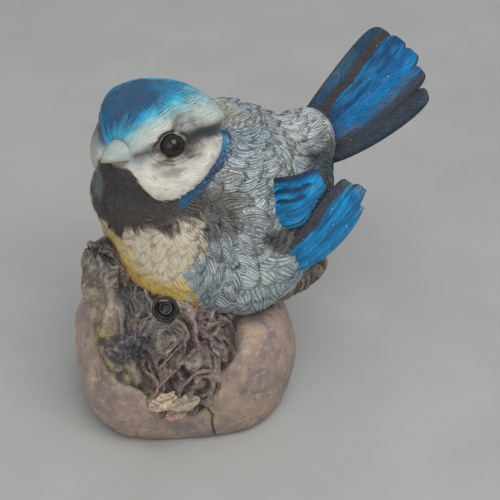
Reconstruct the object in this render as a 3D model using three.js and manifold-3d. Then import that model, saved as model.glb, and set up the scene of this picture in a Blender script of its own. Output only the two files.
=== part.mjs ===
// Painted resin ornament: a plump blue tit on a broken log, cast with a rounded stone.
// Millimetres, +Z up. The origin is the centre of the flat underside of the stone.
// The front, with the round sensor eye, faces -Y.
import * as THREE from 'three';
import { mergeVertices } from 'three/addons/utils/BufferGeometryUtils.js';
import Module from 'manifold-3d';

const wasm = await Module();
wasm.setup();

// Gap left between neighbouring pieces
const GAP = 0.3;

// The bird stands in its own frame: x forward, y to its left, z up
const BIRD_AT = [18.3, 10.7];
const BIRD_HEADING = 204;

// Trunk: a plump egg
const TRUNK = { rear: -36, front: 45, rearZ: 78, frontZ: 75, halfWidth: 33, up: 33, down: 37 };
// Rump: the cone of coverts that carries the tail
const RUMP = { from: [-12, 0, 83], to: [-41, 0, 95.5], halfWidth: 15, halfHeight: 16.5 };
// Neck: the collar and throat between head and trunk
const NECK = { rear: [-3, 0, 93], front: [48, 0, 84], halfWidth: 23.5, up: 18.5, down: 18 };
// Head: turned to the bird's left and raised a little
const HEAD = {
  at: [24, 0.5, 102],
  turn: 26,
  raise: 12,
  halfLength: 22.5,
  halfWidth: 23,
  up: 22.3,
  down: 20.5,
};
// Bill, in the head's own frame: x forward from the head's centre
const BILL = { root: 14, tip: 28, z: 2.4, halfWidth: 5.3, up: 4.8, down: 3.4 };
// Eyes, in the head's own frame
const EYE = { x: 12.6, y: 13.6, z: 8.2, radius: 4.4 };
// Tail: five broad feathers in a fan, cocked up
const TAIL = {
  root: [-31, 0, 89],
  length: 46,
  rise: 37,
  count: 5,
  rootPitch: 3.4,
  tipPitch: 9.6,
  skew: 1.5,
};
const TAIL_VANE = { halfWidth: 7, halfThickness: 1.5, outerShorter: 3.4, outerDrop: 1.1 };
// Wings: the folded feathers lie on the flank and rise toward the tail
const WING_VANE = { halfThickness: 1.5, across: [0.62, 0.12, 0.78] };
const RIGHT_WING_DROP = 7;
// Shoulder: the raised pad of small coverts in front of the wing feathers
const SHOULDER = {
  front: [14, 25, 74],
  middle: [3, 29, 79],
  rear: [-7, 28.5, 84],
  thickness: 4.6,
  reach: 15,
};

// Stone: a rounded block, a little narrower at its foot
const STONE = { centre: [1, 0.5], halfWidth: 39.8, halfDepth: 34.5, height: 45, turn: 9, square: 2.9 };
// How far the stone's form runs on below the floor, where it is cut flat
const STONE_BELOW = 12;
// Log: a broken stump that stands in the front of the stone
const LOG = {
  foot: [0, -26, 15],
  middle: [-3, -22, 38],
  top: [-7, -9, 70],
  halfWidth: 24,
  halfDepth: 14.5,
};
const BRANCH = {
  from: [2, -2, 45],
  middle: [30, 3, 45.5],
  to: [51.5, 12.5, 49.5],
  halfWidth: 8.5,
  halfHeight: 8,
};
const HORN = {
  from: [-19, -12, 52],
  middle: [-23.5, -14, 65],
  to: [-23, -15, 76],
  halfWidth: 7,
  halfDepth: 6,
};
const STUB = { from: [-6, -24, 48], to: [-19.5, -33.5, 43], radius: 3.9 };
const SENSOR = { at: [-2.9, -27.6, 57.6], radius: 4.2, lens: 2.6, depth: 5 };
const SENSOR_TILT = 31;

// Facets round and along the larger and the smaller bodies
const FINE = [22, 13];
const BARK = [18, 11];
const MEDIUM = [12, 9];
const SMALL = [10, 7];
const TINY = [8, 8];

const DEG = Math.PI / 180;
const ornament = new THREE.Group();

function finish(color, roughness, metalness = 0) {
  return { color, roughness, metalness };
}

const FINISHES = {
  greyFeather: finish(0x8b9494, 0.6),
  paleFace: finish(0xc8c3b6, 0.6),
  blueCap: finish(0x1f6f9c, 0.5),
  blueFeather: finish(0x1b6bab, 0.5),
  bill: finish(0x9fabab, 0.45),
  eye: finish(0x0d0b0a, 0.08),
  stone: finish(0x97816f, 0.55),
  bark: finish(0x4d443f, 0.65),
  leaf: finish(0xb59a72, 0.65),
  blackPlastic: finish(0x111111, 0.4),
};

function vec(p) {
  return new THREE.Vector3(...p);
}

function solidOf(geometry) {
  geometry.deleteAttribute('normal');
  geometry.deleteAttribute('uv');
  const merged = mergeVertices(geometry, 1e-4);
  return new wasm.Manifold(new wasm.Mesh({
    numProp: 3,
    vertProperties: new Float32Array(merged.attributes.position.array),
    triVerts: new Uint32Array(merged.index.array),
  }));
}

function geometryOf(solid) {
  const mesh = solid.getMesh();
  const geometry = new THREE.BufferGeometry();
  geometry.setAttribute('position', new THREE.BufferAttribute(mesh.vertProperties, 3));
  geometry.setIndex(new THREE.BufferAttribute(mesh.triVerts, 1));
  geometry.computeVertexNormals();
  return geometry;
}

// The largest connected body of a solid, without slivers that a cut leaves
function mainBody(solid) {
  const bodies = solid.decompose();
  return bodies.reduce((best, body) => (body.volume() > best.volume() ? body : best));
}

function addPart(name, solid, look) {
  const mesh = new THREE.Mesh(geometryOf(mainBody(solid)), new THREE.MeshStandardMaterial(look));
  mesh.name = name;
  ornament.add(mesh);
}

// A closed body along a spine, made from a sphere whose poles are the spine's ends.
// reach(s, angle) gives how far the skin stands from the spine, across (n) and along (b) the frame.
function loft({ spine, across, reach, facets = MEDIUM, grow = 0 }) {
  const geometry = new THREE.SphereGeometry(1, ...facets);
  const position = geometry.attributes.position;
  const point = new THREE.Vector3();
  for (let i = 0; i < position.count; i += 1) {
    point.fromBufferAttribute(position, i);
    const s = (1 - THREE.MathUtils.clamp(point.y, -1, 1)) / 2;
    const ring = Math.hypot(point.x, point.z);
    const angle = Math.atan2(point.z, point.x);
    const tangent = spine.getTangent(s);
    const sideways = across.clone().addScaledVector(tangent, -across.dot(tangent)).normalize();
    const upward = new THREE.Vector3().crossVectors(tangent, sideways);
    const size = reach(s, angle, ring);
    const start = spine.getPoint(s).addScaledVector(tangent, grow * -point.y);
    start.addScaledVector(sideways, Math.cos(angle) * ring * (size.across + grow));
    start.addScaledVector(upward, Math.sin(angle) * ring * (size.up + grow));
    position.setXYZ(i, start.x, start.y, start.z);
  }
  return solidOf(geometry);
}

function line(from, to) {
  return new THREE.LineCurve3(vec(from), vec(to));
}

function curve(...points) {
  return new THREE.CatmullRomCurve3(points.map(vec));
}

// From the bird's frame to the ornament's
function birdMatrix() {
  const turn = new THREE.Matrix4().makeRotationZ(BIRD_HEADING * DEG);
  return turn.setPosition(BIRD_AT[0], BIRD_AT[1], 0);
}

// From the head's frame to the ornament's
function headMatrix() {
  const raise = new THREE.Matrix4().makeRotationY(-HEAD.raise * DEG);
  const turn = new THREE.Matrix4().makeRotationZ(HEAD.turn * DEG);
  const place = new THREE.Matrix4().makeTranslation(...HEAD.at);
  return birdMatrix().multiply(place).multiply(turn).multiply(raise);
}

const BIRD = birdMatrix().elements;
const HEAD_FRAME = headMatrix().elements;
const LEFT = new THREE.Vector3(0, 1, 0);
const RIGHT = new THREE.Vector3(1, 0, 0);
const UPWARD = new THREE.Vector3(0, 0, 1);

function trunk(grow = 0) {
  const spine = line([TRUNK.rear, 0, TRUNK.rearZ], [TRUNK.front, 0, TRUNK.frontZ]);
  const reach = (s, angle) => {
    const rearward = Math.cos(Math.PI * s);
    const up = TRUNK.up * (1 - 0.04 * rearward);
    const down = TRUNK.down * (1 + 0.05 * rearward);
    return { across: TRUNK.halfWidth * (1 - 0.04 * rearward), up: Math.sin(angle) > 0 ? up : down };
  };
  return loft({ spine, across: LEFT, reach, facets: FINE, grow }).transform(BIRD);
}

function neck(grow = 0) {
  const spine = line(NECK.rear, NECK.front);
  const reach = (s, angle) => ({
    across: NECK.halfWidth,
    up: Math.sin(angle) > 0 ? NECK.up : NECK.down,
  });
  return loft({ spine, across: LEFT, reach, facets: FINE, grow }).transform(BIRD);
}

function rump(grow = 0) {
  const spine = line(RUMP.from, RUMP.to);
  const reach = (s) => ({
    across: RUMP.halfWidth * (1.12 - 0.3 * s),
    up: RUMP.halfHeight * (1.18 - 0.5 * s),
  });
  return loft({ spine, across: LEFT, reach, grow }).transform(BIRD);
}

function head(grow = 0) {
  const spine = line([-HEAD.halfLength, 0, 0], [HEAD.halfLength, 0, 0]);
  const reach = (s, angle) => ({
    across: HEAD.halfWidth * (1 - 0.05 * Math.sin(angle)),
    up: Math.sin(angle) > 0 ? HEAD.up * (1 - 0.05 * Math.cos(Math.PI * s)) : HEAD.down,
  });
  return loft({ spine, across: LEFT, reach, facets: FINE, grow }).transform(HEAD_FRAME);
}

// Half of the blunt conical bill: its upper or its lower part
function billHalf(upper, grow = 0) {
  const side = upper ? 1 : -1;
  const tipX = BILL.tip - (upper ? 0 : 2.2);
  const spine = curve([BILL.root - 6, 0, BILL.z], [BILL.root + 5, 0, BILL.z], [tipX, 0, BILL.z - 0.4]);
  const reach = (s, angle) => {
    const taper = Math.pow(1 - s, 0.35) * 1.25;
    const away = Math.sin(angle) * side > 0;
    const height = upper ? BILL.up : BILL.down;
    return { across: BILL.halfWidth * taper, up: away ? height * taper : 0.01 };
  };
  const lift = GAP / 2 * side;
  const half = loft({ spine, across: LEFT, reach, facets: SMALL, grow });
  return half.translate([0, 0, grow > 0 ? 0 : lift]).transform(HEAD_FRAME);
}

function eye(side, grow = 0) {
  const ball = new THREE.SphereGeometry(EYE.radius + grow, 12, 8);
  return solidOf(ball).translate([EYE.x, EYE.y * side, EYE.z]).transform(HEAD_FRAME);
}

// A feather: a flat body along a curve, rounded at its tip and narrow at its root
function vane({ spine, across, halfWidth, halfThickness, grow = 0, rootWidth = 0.55, facets = [8, 7] }) {
  const reach = (s, angle, ring) => {
    const spread = rootWidth + (1 - rootWidth) * Math.sin(Math.min(1, s * 1.25) * Math.PI / 2);
    const fullness = Math.min(1.9, 1 / Math.max(0.35, Math.sqrt(ring)));
    return { across: halfWidth * spread * fullness, up: halfThickness * fullness };
  };
  return loft({ spine, across, reach, facets, grow });
}

function tailFeather(index, grow = 0) {
  const middle = (TAIL.count - 1) / 2;
  const offset = index - middle;
  const length = TAIL.length - TAIL_VANE.outerShorter * (offset / middle) ** 2 - TAIL.skew * offset;
  const drop = TAIL_VANE.outerDrop * Math.abs(offset);
  const rise = TAIL.rise * DEG;
  const [x, , z] = TAIL.root;
  const root = [x, TAIL.rootPitch * offset, z - drop];
  const tip = [
    x - Math.cos(rise) * length - Math.sin(rise) * drop * 0.4,
    TAIL.tipPitch * offset,
    z + Math.sin(rise) * length - drop,
  ];
  const bow = [(root[0] + tip[0]) / 2 - 0.8, (root[1] + tip[1]) / 2, (root[2] + tip[2]) / 2 - 1];
  const spine = curve(root, bow, tip);
  const across = new THREE.Vector3(0.28 * offset, 1, -0.1 * offset).normalize();
  return vane({
    spine,
    across,
    grow,
    halfWidth: TAIL_VANE.halfWidth,
    halfThickness: TAIL_VANE.halfThickness,
  }).transform(BIRD);
}

// A wing's feather between two places on the flank, given for the left wing
function wingVane(side, { root, middle, tip, halfWidth }, grow = 0) {
  const drop = side < 0 ? RIGHT_WING_DROP : 0;
  const place = ([x, y, z]) => [x, y * side, z - drop];
  const spine = curve(place(root), place(middle), place(tip));
  const across = vec(WING_VANE.across);
  across.y *= side;
  return vane({
    spine,
    across,
    grow,
    halfWidth,
    halfThickness: WING_VANE.halfThickness,
    rootWidth: 0.75,
  }).transform(BIRD);
}

const TERTIALS = [
  { root: [2, 30.5, 84], middle: [-5, 32.2, 91], tip: [-13.5, 29.3, 98.5], halfWidth: 5.4 },
  { root: [-4, 31.2, 77], middle: [-10, 31.6, 85], tip: [-18.5, 28, 93], halfWidth: 5.0 },
];
const PRIMARIES = [
  { root: [-6, 30.6, 72], middle: [-17, 30.2, 79.5], tip: [-31, 24, 87], halfWidth: 4.4 },
  { root: [-8, 30.4, 68], middle: [-20, 30, 74.5], tip: [-37.5, 23.5, 82.8], halfWidth: 5.0 },
  { root: [-9, 29.4, 63.5], middle: [-21, 29.6, 68.5], tip: [-36, 24.5, 75.5], halfWidth: 4.8 },
];

function wingRow(side, vanes, grow = 0) {
  return vanes.map((shape) => wingVane(side, shape, grow)).reduce((all, one) => all.add(one));
}

function shoulder(side, grow = 0) {
  const place = ([x, y, z]) => [x, y * side, z];
  const spine = curve(place(SHOULDER.front), place(SHOULDER.middle), place(SHOULDER.rear));
  const reach = () => ({ across: SHOULDER.thickness, up: SHOULDER.reach });
  return loft({ spine, across: LEFT, reach, grow }).transform(BIRD);
}

function stone() {
  const spine = line([0, 0, -STONE_BELOW], [0, 0, STONE.height]);
  const reach = (s, angle, ring) => {
    const c = Math.abs(Math.cos(angle));
    const d = Math.abs(Math.sin(angle));
    const square = 1 / (c ** STONE.square + d ** STONE.square) ** (1 / STONE.square);
    const full = Math.pow(Math.max(ring, 1e-3), -0.62) * square;
    const foot = 1 - 0.1 * Math.pow(1 - s, 2);
    return { across: STONE.halfWidth * full * foot, up: STONE.halfDepth * full * foot };
  };
  const block = loft({ spine, across: RIGHT, reach, facets: FINE });
  const ground = solidOf(new THREE.BoxGeometry(200, 200, 40)).translate([0, 0, -20]);
  return block.rotate([0, 0, STONE.turn]).translate([...STONE.centre, 0]).subtract(ground);
}

function stump(grow = 0) {
  const spine = curve(LOG.foot, LOG.middle, LOG.top);
  const reach = (s, angle) => {
    const flare = 0.42 + 0.72 * Math.sin(Math.min(1, s * 1.12) * Math.PI / 2);
    const ridges = 1 + 0.04 * Math.sin(angle * 5 + s * 4);
    return { across: LOG.halfWidth * flare * ridges, up: LOG.halfDepth * flare * ridges };
  };
  return loft({ spine, across: RIGHT, reach, facets: BARK, grow });
}

function branch(grow = 0) {
  const spine = curve(BRANCH.from, BRANCH.middle, BRANCH.to);
  const reach = (s, angle) => {
    const knots = 1 + 0.06 * Math.sin(angle * 3 + s * 9);
    return { across: BRANCH.halfWidth * knots * (1.1 + 0.1 * s), up: BRANCH.halfHeight * knots };
  };
  return loft({ spine, across: LEFT, reach, grow });
}

function horn(grow = 0) {
  const spine = curve(HORN.from, HORN.middle, HORN.to);
  const reach = (s) => ({ across: HORN.halfWidth * (1.2 - 0.25 * s), up: HORN.halfDepth });
  return loft({ spine, across: RIGHT, reach, facets: SMALL, grow });
}

function stub(grow = 0) {
  const reach = (s) => ({ across: STUB.radius * (1 + 0.5 * s), up: STUB.radius * (1 + 0.35 * s) });
  const spine = line(STUB.from, STUB.to);
  return loft({ spine, across: UPWARD, reach, facets: SMALL, grow });
}

const TWIGS = [
  { from: [7, -31, 45], to: [-6, -36, 31.5], radius: 1.7 },
  { from: [5, -30, 50], to: [-5, -35.5, 39], radius: 1.5 },
];

function twig({ from, to, radius }, grow = 0) {
  const bow = [(from[0] + to[0]) / 2 + 1, (from[1] + to[1]) / 2 - 2, (from[2] + to[2]) / 2];
  const reach = () => ({ across: radius, up: radius });
  const spine = curve(from, bow, to);
  return loft({ spine, across: UPWARD, reach, facets: TINY, grow });
}

const LEAVES = [
  { from: [-1, -31, 29], to: [-8.5, -36.5, 22], halfWidth: 2.9 },
  { from: [8, -32, 28], to: [-1.5, -37, 25.5], halfWidth: 2.6 },
  { from: [5, -32, 25], to: [-2, -36, 18.5], halfWidth: 2.8 },
];

function leaf({ from, to, halfWidth }, grow = 0) {
  const middle = [(from[0] + to[0]) / 2, (from[1] + to[1]) / 2 - 0.8, (from[2] + to[2]) / 2];
  return vane({
    spine: curve(from, middle, to),
    across: new THREE.Vector3(0.5, -0.2, -0.8),
    halfWidth,
    halfThickness: 0.6,
    rootWidth: 0.5,
    facets: TINY,
    grow,
  });
}

// The sensor's axis, from the log out toward the front
function sensorPlace(solid) {
  return solid.rotate([90 - SENSOR_TILT, 0, 0]).translate(SENSOR.at);
}

function sensorPlug(grow = 0) {
  const radius = SENSOR.radius + grow;
  const length = SENSOR.depth + grow + 1;
  const plug = new THREE.CylinderGeometry(radius, radius, length, 16);
  plug.rotateX(Math.PI / 2);
  plug.translate(0, 0, 1 - length / 2);
  return sensorPlace(solidOf(plug));
}

// Clears whatever stands in front of the sensor
function sensorMouth() {
  const mouth = new THREE.CylinderGeometry(SENSOR.radius + 2.5, SENSOR.radius + GAP, 8, 16);
  mouth.rotateX(Math.PI / 2);
  mouth.translate(0, 0, 4);
  return sensorPlace(solidOf(mouth));
}

function sensorBezel() {
  const outer = SENSOR.radius;
  const inner = SENSOR.lens + GAP;
  const profile = [
    [0, -SENSOR.depth],
    [outer, -SENSOR.depth],
    [outer, 0.3],
    [outer - 0.4, 0.6],
    [outer - 0.9, 0.5],
    [outer - 1.1, -0.9],
    [inner, -0.9],
    [inner, -3.2],
    [0, -3.2],
  ];
  const ring = new THREE.LatheGeometry(profile.map(([r, z]) => new THREE.Vector2(r, z)), 16);
  ring.rotateX(Math.PI / 2);
  return sensorPlace(solidOf(ring));
}

function sensorLens() {
  const top = -1.3;
  const profile = [[0, -2.9], [SENSOR.lens, -2.9], [SENSOR.lens, top - 0.5], [1.6, top - 0.1], [0, top]];
  const dome = new THREE.LatheGeometry(profile.map(([r, z]) => new THREE.Vector2(r, z)), 18);
  dome.rotateX(Math.PI / 2);
  return sensorPlace(solidOf(dome));
}

const SIDES = { left: 1, right: -1 };

function buildBird() {
  const upperBill = billHalf(true);
  const lowerBill = billHalf(false);
  const headCuts = [billHalf(true, GAP), billHalf(false, GAP), eye(1, GAP), eye(-1, GAP)];
  addPart('head', headCuts.reduce((solid, cut) => solid.subtract(cut), head()), FINISHES.paleFace);
  addPart('bill_upper', upperBill, FINISHES.bill);
  addPart('bill_lower', lowerBill, FINISHES.bill);
  addPart('eye_left', eye(1), FINISHES.eye);
  addPart('eye_right', eye(-1), FINISHES.eye);

  addPart('neck', neck().subtract(head(GAP)), FINISHES.blueCap);
  addPart('rump', rump(), FINISHES.greyFeather);
  const trunkSolid = trunk().subtract(head(GAP)).subtract(neck(GAP)).subtract(rump(GAP));
  addPart('trunk', trunkSolid, FINISHES.greyFeather);

  const body = trunk(GAP).add(rump(GAP));
  for (const [word, side] of Object.entries(SIDES)) {
    const inner = wingRow(side, TERTIALS).subtract(body);
    const outer = wingRow(side, PRIMARIES).subtract(wingRow(side, TERTIALS, GAP)).subtract(body);
    const feathers = wingRow(side, TERTIALS, GAP).add(wingRow(side, PRIMARIES, GAP));
    const pad = shoulder(side).subtract(feathers).subtract(body);
    addPart(`wing_${word}_inner_feathers`, inner, FINISHES.blueFeather);
    addPart(`wing_${word}_outer_feathers`, outer, FINISHES.blueFeather);
    addPart(`wing_${word}_shoulder`, pad, FINISHES.greyFeather);
  }

  // The middle feather lies on top, and each outer one under its inner neighbour
  const order = [2, 1, 3, 0, 4];
  const laid = [];
  for (const index of order) {
    let feather = tailFeather(index).subtract(rump(GAP)).subtract(trunk(GAP));
    for (const other of laid) feather = feather.subtract(tailFeather(other, GAP));
    laid.push(index);
    addPart(`tail_feather_${index + 1}`, feather, FINISHES.blueFeather);
  }
}

function buildPerch() {
  const bird = trunk(GAP).add(neck(GAP));
  const plug = sensorPlug(GAP);
  const mouth = sensorMouth();
  const stumpSolid = stump().subtract(bird).subtract(plug).subtract(mouth);
  addPart('log_stump', stumpSolid, FINISHES.bark);
  addPart('log_horn', horn().subtract(bird).subtract(stump(GAP)), FINISHES.bark);
  const wings = wingRow(1, PRIMARIES, GAP).add(wingRow(-1, PRIMARIES, GAP));
  const pads = shoulder(1, GAP).add(shoulder(-1, GAP));
  const branchSolid = branch().subtract(bird).subtract(stump(GAP)).subtract(wings).subtract(pads);
  addPart('log_branch', branchSolid, FINISHES.bark);
  addPart('log_stub', stub().subtract(stump(GAP)), FINISHES.bark);
  let laid = stump(GAP).add(stub(GAP));
  TWIGS.forEach((shape, i) => {
    addPart(`twig_${i + 1}`, twig(shape).subtract(laid).subtract(mouth).subtract(plug), FINISHES.bark);
    laid = laid.add(twig(shape, GAP));
  });
  LEAVES.forEach((shape, i) => {
    addPart(`leaf_${i + 1}`, leaf(shape).subtract(laid), FINISHES.leaf);
    laid = laid.add(leaf(shape, GAP));
  });
  const rest = laid.add(branch(GAP)).add(horn(GAP)).add(bird);
  addPart('stone', stone().subtract(rest), FINISHES.stone);
  addPart('sensor_bezel', sensorBezel(), FINISHES.blackPlastic);
  addPart('sensor_lens', sensorLens(), FINISHES.blackPlastic);
}

buildBird();
buildPerch();

export default ornament;
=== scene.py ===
"""Looks of a painted resin ornament: a blue tit on a broken log and a rounded stone."""

import math

import bpy
import numpy as np
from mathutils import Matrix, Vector, kdtree


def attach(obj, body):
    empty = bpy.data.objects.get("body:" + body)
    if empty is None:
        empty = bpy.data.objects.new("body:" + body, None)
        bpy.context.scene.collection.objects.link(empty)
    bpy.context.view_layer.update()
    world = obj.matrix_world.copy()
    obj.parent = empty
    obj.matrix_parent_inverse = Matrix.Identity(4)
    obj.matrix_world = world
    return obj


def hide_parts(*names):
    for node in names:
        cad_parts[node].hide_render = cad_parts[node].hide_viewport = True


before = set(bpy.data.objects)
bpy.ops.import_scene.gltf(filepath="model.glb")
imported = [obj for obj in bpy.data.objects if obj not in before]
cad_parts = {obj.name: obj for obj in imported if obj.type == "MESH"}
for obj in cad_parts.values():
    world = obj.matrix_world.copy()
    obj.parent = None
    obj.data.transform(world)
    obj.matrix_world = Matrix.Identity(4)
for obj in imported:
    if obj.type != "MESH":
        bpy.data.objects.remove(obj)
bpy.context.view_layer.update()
bpy.context.scene.view_settings.view_transform = "Standard"

# Millimetres are used while shapes are made, and metres when a mesh is written
MM = 0.001
# Comb attributes are already in lumps of noise, so their noise is asked for one metre across
COMB_UNIT = 1 / MM
RNG = np.random.default_rng(7)

# The bird's frame: x forward, y to its left, z up. The head's frame is turned and raised in it.
BIRD_AT = np.array([18.3, 10.7, 0.0])
BIRD_HEADING = math.radians(204)
HEAD_AT = np.array([24.0, 0.5, 102.0])
HEAD_TURN = math.radians(26)
HEAD_RAISE = math.radians(12)

# Photo's view: 500 pixels square
VIEW_ELEVATION = 36.0
VIEW_DISTANCE = 450.0
VIEW_TARGET = (24.6, 0.0, 61.3)
VIEW_FOCAL_PIXELS = 1323.0
VIEW_PIXELS = 500.0
VIEW_SENSOR = 36.0
# Studio: half the floor's width in millimetres, the sky's light, and the lamps
FLOOR_REACH = 3000.0
SKY_COLOUR = (0.93, 0.96, 1.0, 1)
SKY_STRENGTH = 0.53
LAMPS = [
    ("key", (0.36, -0.5, 1.08), 7.6, 0.7),
    ("fill", (-0.5, -0.95, 0.6), 3.6, 1.0),
]
LAMP_AIM = (0.02, 0, 0.05)

# Each merged body's voxel, how far its parts are swollen to run together, how many rounds it is
# smoothed, and how often its faces are halved afterwards
FLESH_FORM = (1.3, 0.35, 24, 2)
LOG_FORM = (0.8, 0.3, 4, 1)
STONE_FORM = (2.0, 0.2, 14, 2)
# Points round and along a ball of litter, and the angle left open at a ball's poles
BALL_GRID = (32, 18)
POLE_HOLE = 0.02
# Free rim round each chart of the UV map, as a share of the chart
CHART_RIM = 0.02


# Colours


def rgb(r, g, b):
    """Linear colour of a paint given in display values from 0 to 255."""
    c = np.array([r, g, b]) / 255.0
    return np.where(c <= 0.04045, c / 12.92, ((c + 0.055) / 1.055) ** 2.4)


CAP_DEEP = rgb(4, 72, 110)
CAP_BLUE = rgb(10, 144, 192)
TURQUOISE = rgb(70, 184, 208)
CAP_PALE = rgb(160, 204, 208)
BROW = rgb(194, 202, 194)
BROW_WARM = rgb(182, 164, 140)
MASK = rgb(72, 64, 60)
STRIPE = rgb(38, 46, 60)
LORE = rgb(96, 124, 138)
CHEEK = rgb(236, 230, 217)
CHEEK_WARM = rgb(190, 170, 145)
BIB = rgb(38, 34, 35)
BIB_BROWN = rgb(74, 60, 53)
COLLAR = rgb(38, 138, 180)
COLLAR_DARK = rgb(12, 56, 92)
CREAM = rgb(209, 197, 174)
YELLOW = rgb(204, 170, 76)
GREY_BLUE = rgb(156, 172, 178)
PALE_GREY = rgb(192, 200, 200)
RUMP_PALE = rgb(206, 212, 210)
KHAKI = rgb(158, 152, 128)
DARK_BROWN = rgb(86, 78, 70)
COVERT = rgb(146, 164, 170)
COVERT_PALE = rgb(186, 196, 190)
FLANK_DARK = rgb(86, 104, 110)
LID = rgb(112, 120, 110)
FEATHER_BLUE = rgb(2, 112, 172)
FEATHER_DEEP = rgb(6, 74, 122)
FEATHER_DULL = rgb(30, 72, 94)
FEATHER_BRIGHT = rgb(14, 150, 212)
FEATHER_BROWN = rgb(66, 58, 54)
FEATHER_GREY = rgb(84, 110, 130)
BILL_GREY = rgb(156, 164, 160)
BILL_TAN = rgb(150, 130, 108)
BARK_DARK = rgb(104, 97, 94)
BARK_RIDGE = rgb(184, 172, 158)
BARK_BARE = rgb(178, 154, 126)
BARK_RED = rgb(158, 120, 124)
BARK_PINK = rgb(174, 134, 124)
LICHEN = rgb(200, 176, 108)
STONE_TAUPE = rgb(150, 130, 114)
STONE_VIOLET = rgb(126, 112, 116)
STONE_TAN = rgb(190, 166, 142)
LEAF_TAN = rgb(198, 176, 148)
LEAF_GREEN = rgb(164, 152, 126)
SOIL = rgb(112, 94, 82)
BARK_BROWN = rgb(132, 114, 100)
BRANCH_TAN = rgb(156, 126, 102)
BARK_GREY = rgb(118, 113, 110)
KNOB = rgb(66, 68, 80)
STONE_SHADE = rgb(104, 88, 78)
NAPE = rgb(70, 128, 156)
FAR_LORE = rgb(122, 132, 134)
CREASE_SHADE = rgb(46, 38, 34)
SOCKET = rgb(22, 18, 17)
PUPIL = rgb(16, 13, 12)
IRIS = rgb(46, 35, 29)
BILL_TOP_HIGHLIGHT = rgb(186, 192, 188)
BILL_ROOT_GREY = rgb(120, 134, 140)
FEATHER_GREEN = rgb(96, 120, 110)
FLOOR = rgb(168, 168, 164)
FLOOR_PALE = rgb(174, 174, 171)


def layered(base, count):
    """Paint of one colour at count points, and a call that lays a colour on it where a mask is 1."""
    paint = np.tile(base, (count, 1))

    def lay(colour, mask):
        m = np.clip(mask, 0, 1)[:, None]
        paint[:] = paint * (1 - m) + colour * m

    return paint, lay


# Numbers over space


def ramp(x, low, high):
    """0 below low, 1 above high, smooth between; high may be below low."""
    t = np.clip((x - low) / (high - low), 0, 1)
    return t * t * (3 - 2 * t)


def bump(x, centre, width):
    return np.exp(-(((x - centre) / width) ** 2))


def lattice(ix, iy, iz, seed):
    """A repeatable random number from 0 to 1 at each lattice point."""
    n = ix * 73856093 ^ iy * 19349663 ^ iz * 83492791 ^ (seed * 2654435 + 97)
    n = n & 0x7FFFFFFF
    n = (n ^ (n >> 13)) * 1274126177 & 0x7FFFFFFF
    n = (n ^ (n >> 16)) * 1103515245 & 0x7FFFFFFF
    return (n ^ (n >> 11)) / float(0x7FFFFFFF)


def noise(p, size, seed=0):
    """Smooth noise from -1 to 1, with lumps about size across."""
    q = np.asarray(p) / size
    cell = np.floor(q).astype(np.int64)
    t = q - cell
    t = t * t * (3 - 2 * t)
    total = np.zeros(len(q))
    for dx in (0, 1):
        for dy in (0, 1):
            for dz in (0, 1):
                corner = lattice(cell[:, 0] + dx, cell[:, 1] + dy, cell[:, 2] + dz, seed)
                wx = t[:, 0] if dx else 1 - t[:, 0]
                wy = t[:, 1] if dy else 1 - t[:, 1]
                wz = t[:, 2] if dz else 1 - t[:, 2]
                total += corner * wx * wy * wz
    return total * 2 - 1


def fractal(p, size, octaves=4, seed=0):
    total = np.zeros(len(p))
    for k in range(octaves):
        total += noise(p, size / 2**k, seed + k) / 2**k
    return total


def ridged(p, size, octaves=3, seed=0):
    """Sharp ridges at 1 over rounded hollows toward 0."""
    total = np.zeros(len(p))
    for k in range(octaves):
        total += (1 - np.abs(noise(p, size / 2**k, seed + k)) * 2) / 2**k
    return total / (2 - 0.5 ** (octaves - 1))


# Frames


def rotated(p, angle):
    c, s = math.cos(angle), math.sin(angle)
    return np.stack([p[:, 0] * c - p[:, 1] * s, p[:, 0] * s + p[:, 1] * c, p[:, 2]], 1)


def tilted(p, angle):
    """Turned about y, so that x rises."""
    c, s = math.cos(angle), math.sin(angle)
    return np.stack([p[:, 0] * c - p[:, 2] * s, p[:, 1], p[:, 0] * s + p[:, 2] * c], 1)


def bird_from_world(p):
    return rotated(p - BIRD_AT, -BIRD_HEADING)


def world_from_bird(p):
    return rotated(np.atleast_2d(p), BIRD_HEADING) + BIRD_AT


def head_from_bird(p):
    return tilted(rotated(p - HEAD_AT, -HEAD_TURN), -HEAD_RAISE)


def bird_from_head(p):
    return rotated(tilted(np.atleast_2d(p), HEAD_RAISE), HEAD_TURN) + HEAD_AT


# Meshes


def write_mesh(name, verts, faces):
    """A new smooth-shaded object from millimetre vertices and a list or array of faces."""
    mesh = bpy.data.meshes.new(name)
    faces = faces if isinstance(faces, list) else faces.tolist()
    mesh.from_pydata((verts * MM).tolist(), [], faces)
    mesh.polygons.foreach_set("use_smooth", np.full(len(mesh.polygons), True))
    mesh.update()
    obj = bpy.data.objects.new(name, mesh)
    bpy.context.scene.collection.objects.link(obj)
    return obj


def read_mesh(mesh):
    """Vertices in millimetres and quad faces of a mesh made of quads."""
    co = np.empty(len(mesh.vertices) * 3)
    mesh.vertices.foreach_get("co", co)
    index = np.empty(len(mesh.loops), int)
    mesh.loops.foreach_get("vertex_index", index)
    return co.reshape(-1, 3) / MM, index.reshape(-1, 4)


def modified(obj, kind, **settings):
    """The vertices and quads that a modifier makes of an object, which is then removed."""
    modifier = obj.modifiers.new("shape", kind)
    for key, value in settings.items():
        setattr(modifier, key, value)
    graph = bpy.context.evaluated_depsgraph_get()
    mesh = bpy.data.meshes.new_from_object(obj.evaluated_get(graph))
    verts, faces = read_mesh(mesh)
    bpy.data.meshes.remove(mesh)
    bpy.data.objects.remove(obj)
    return verts, faces


def unit(v):
    """Vectors brought to length 1."""
    return v / np.maximum(np.linalg.norm(v, axis=-1, keepdims=True), 1e-12)


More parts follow.
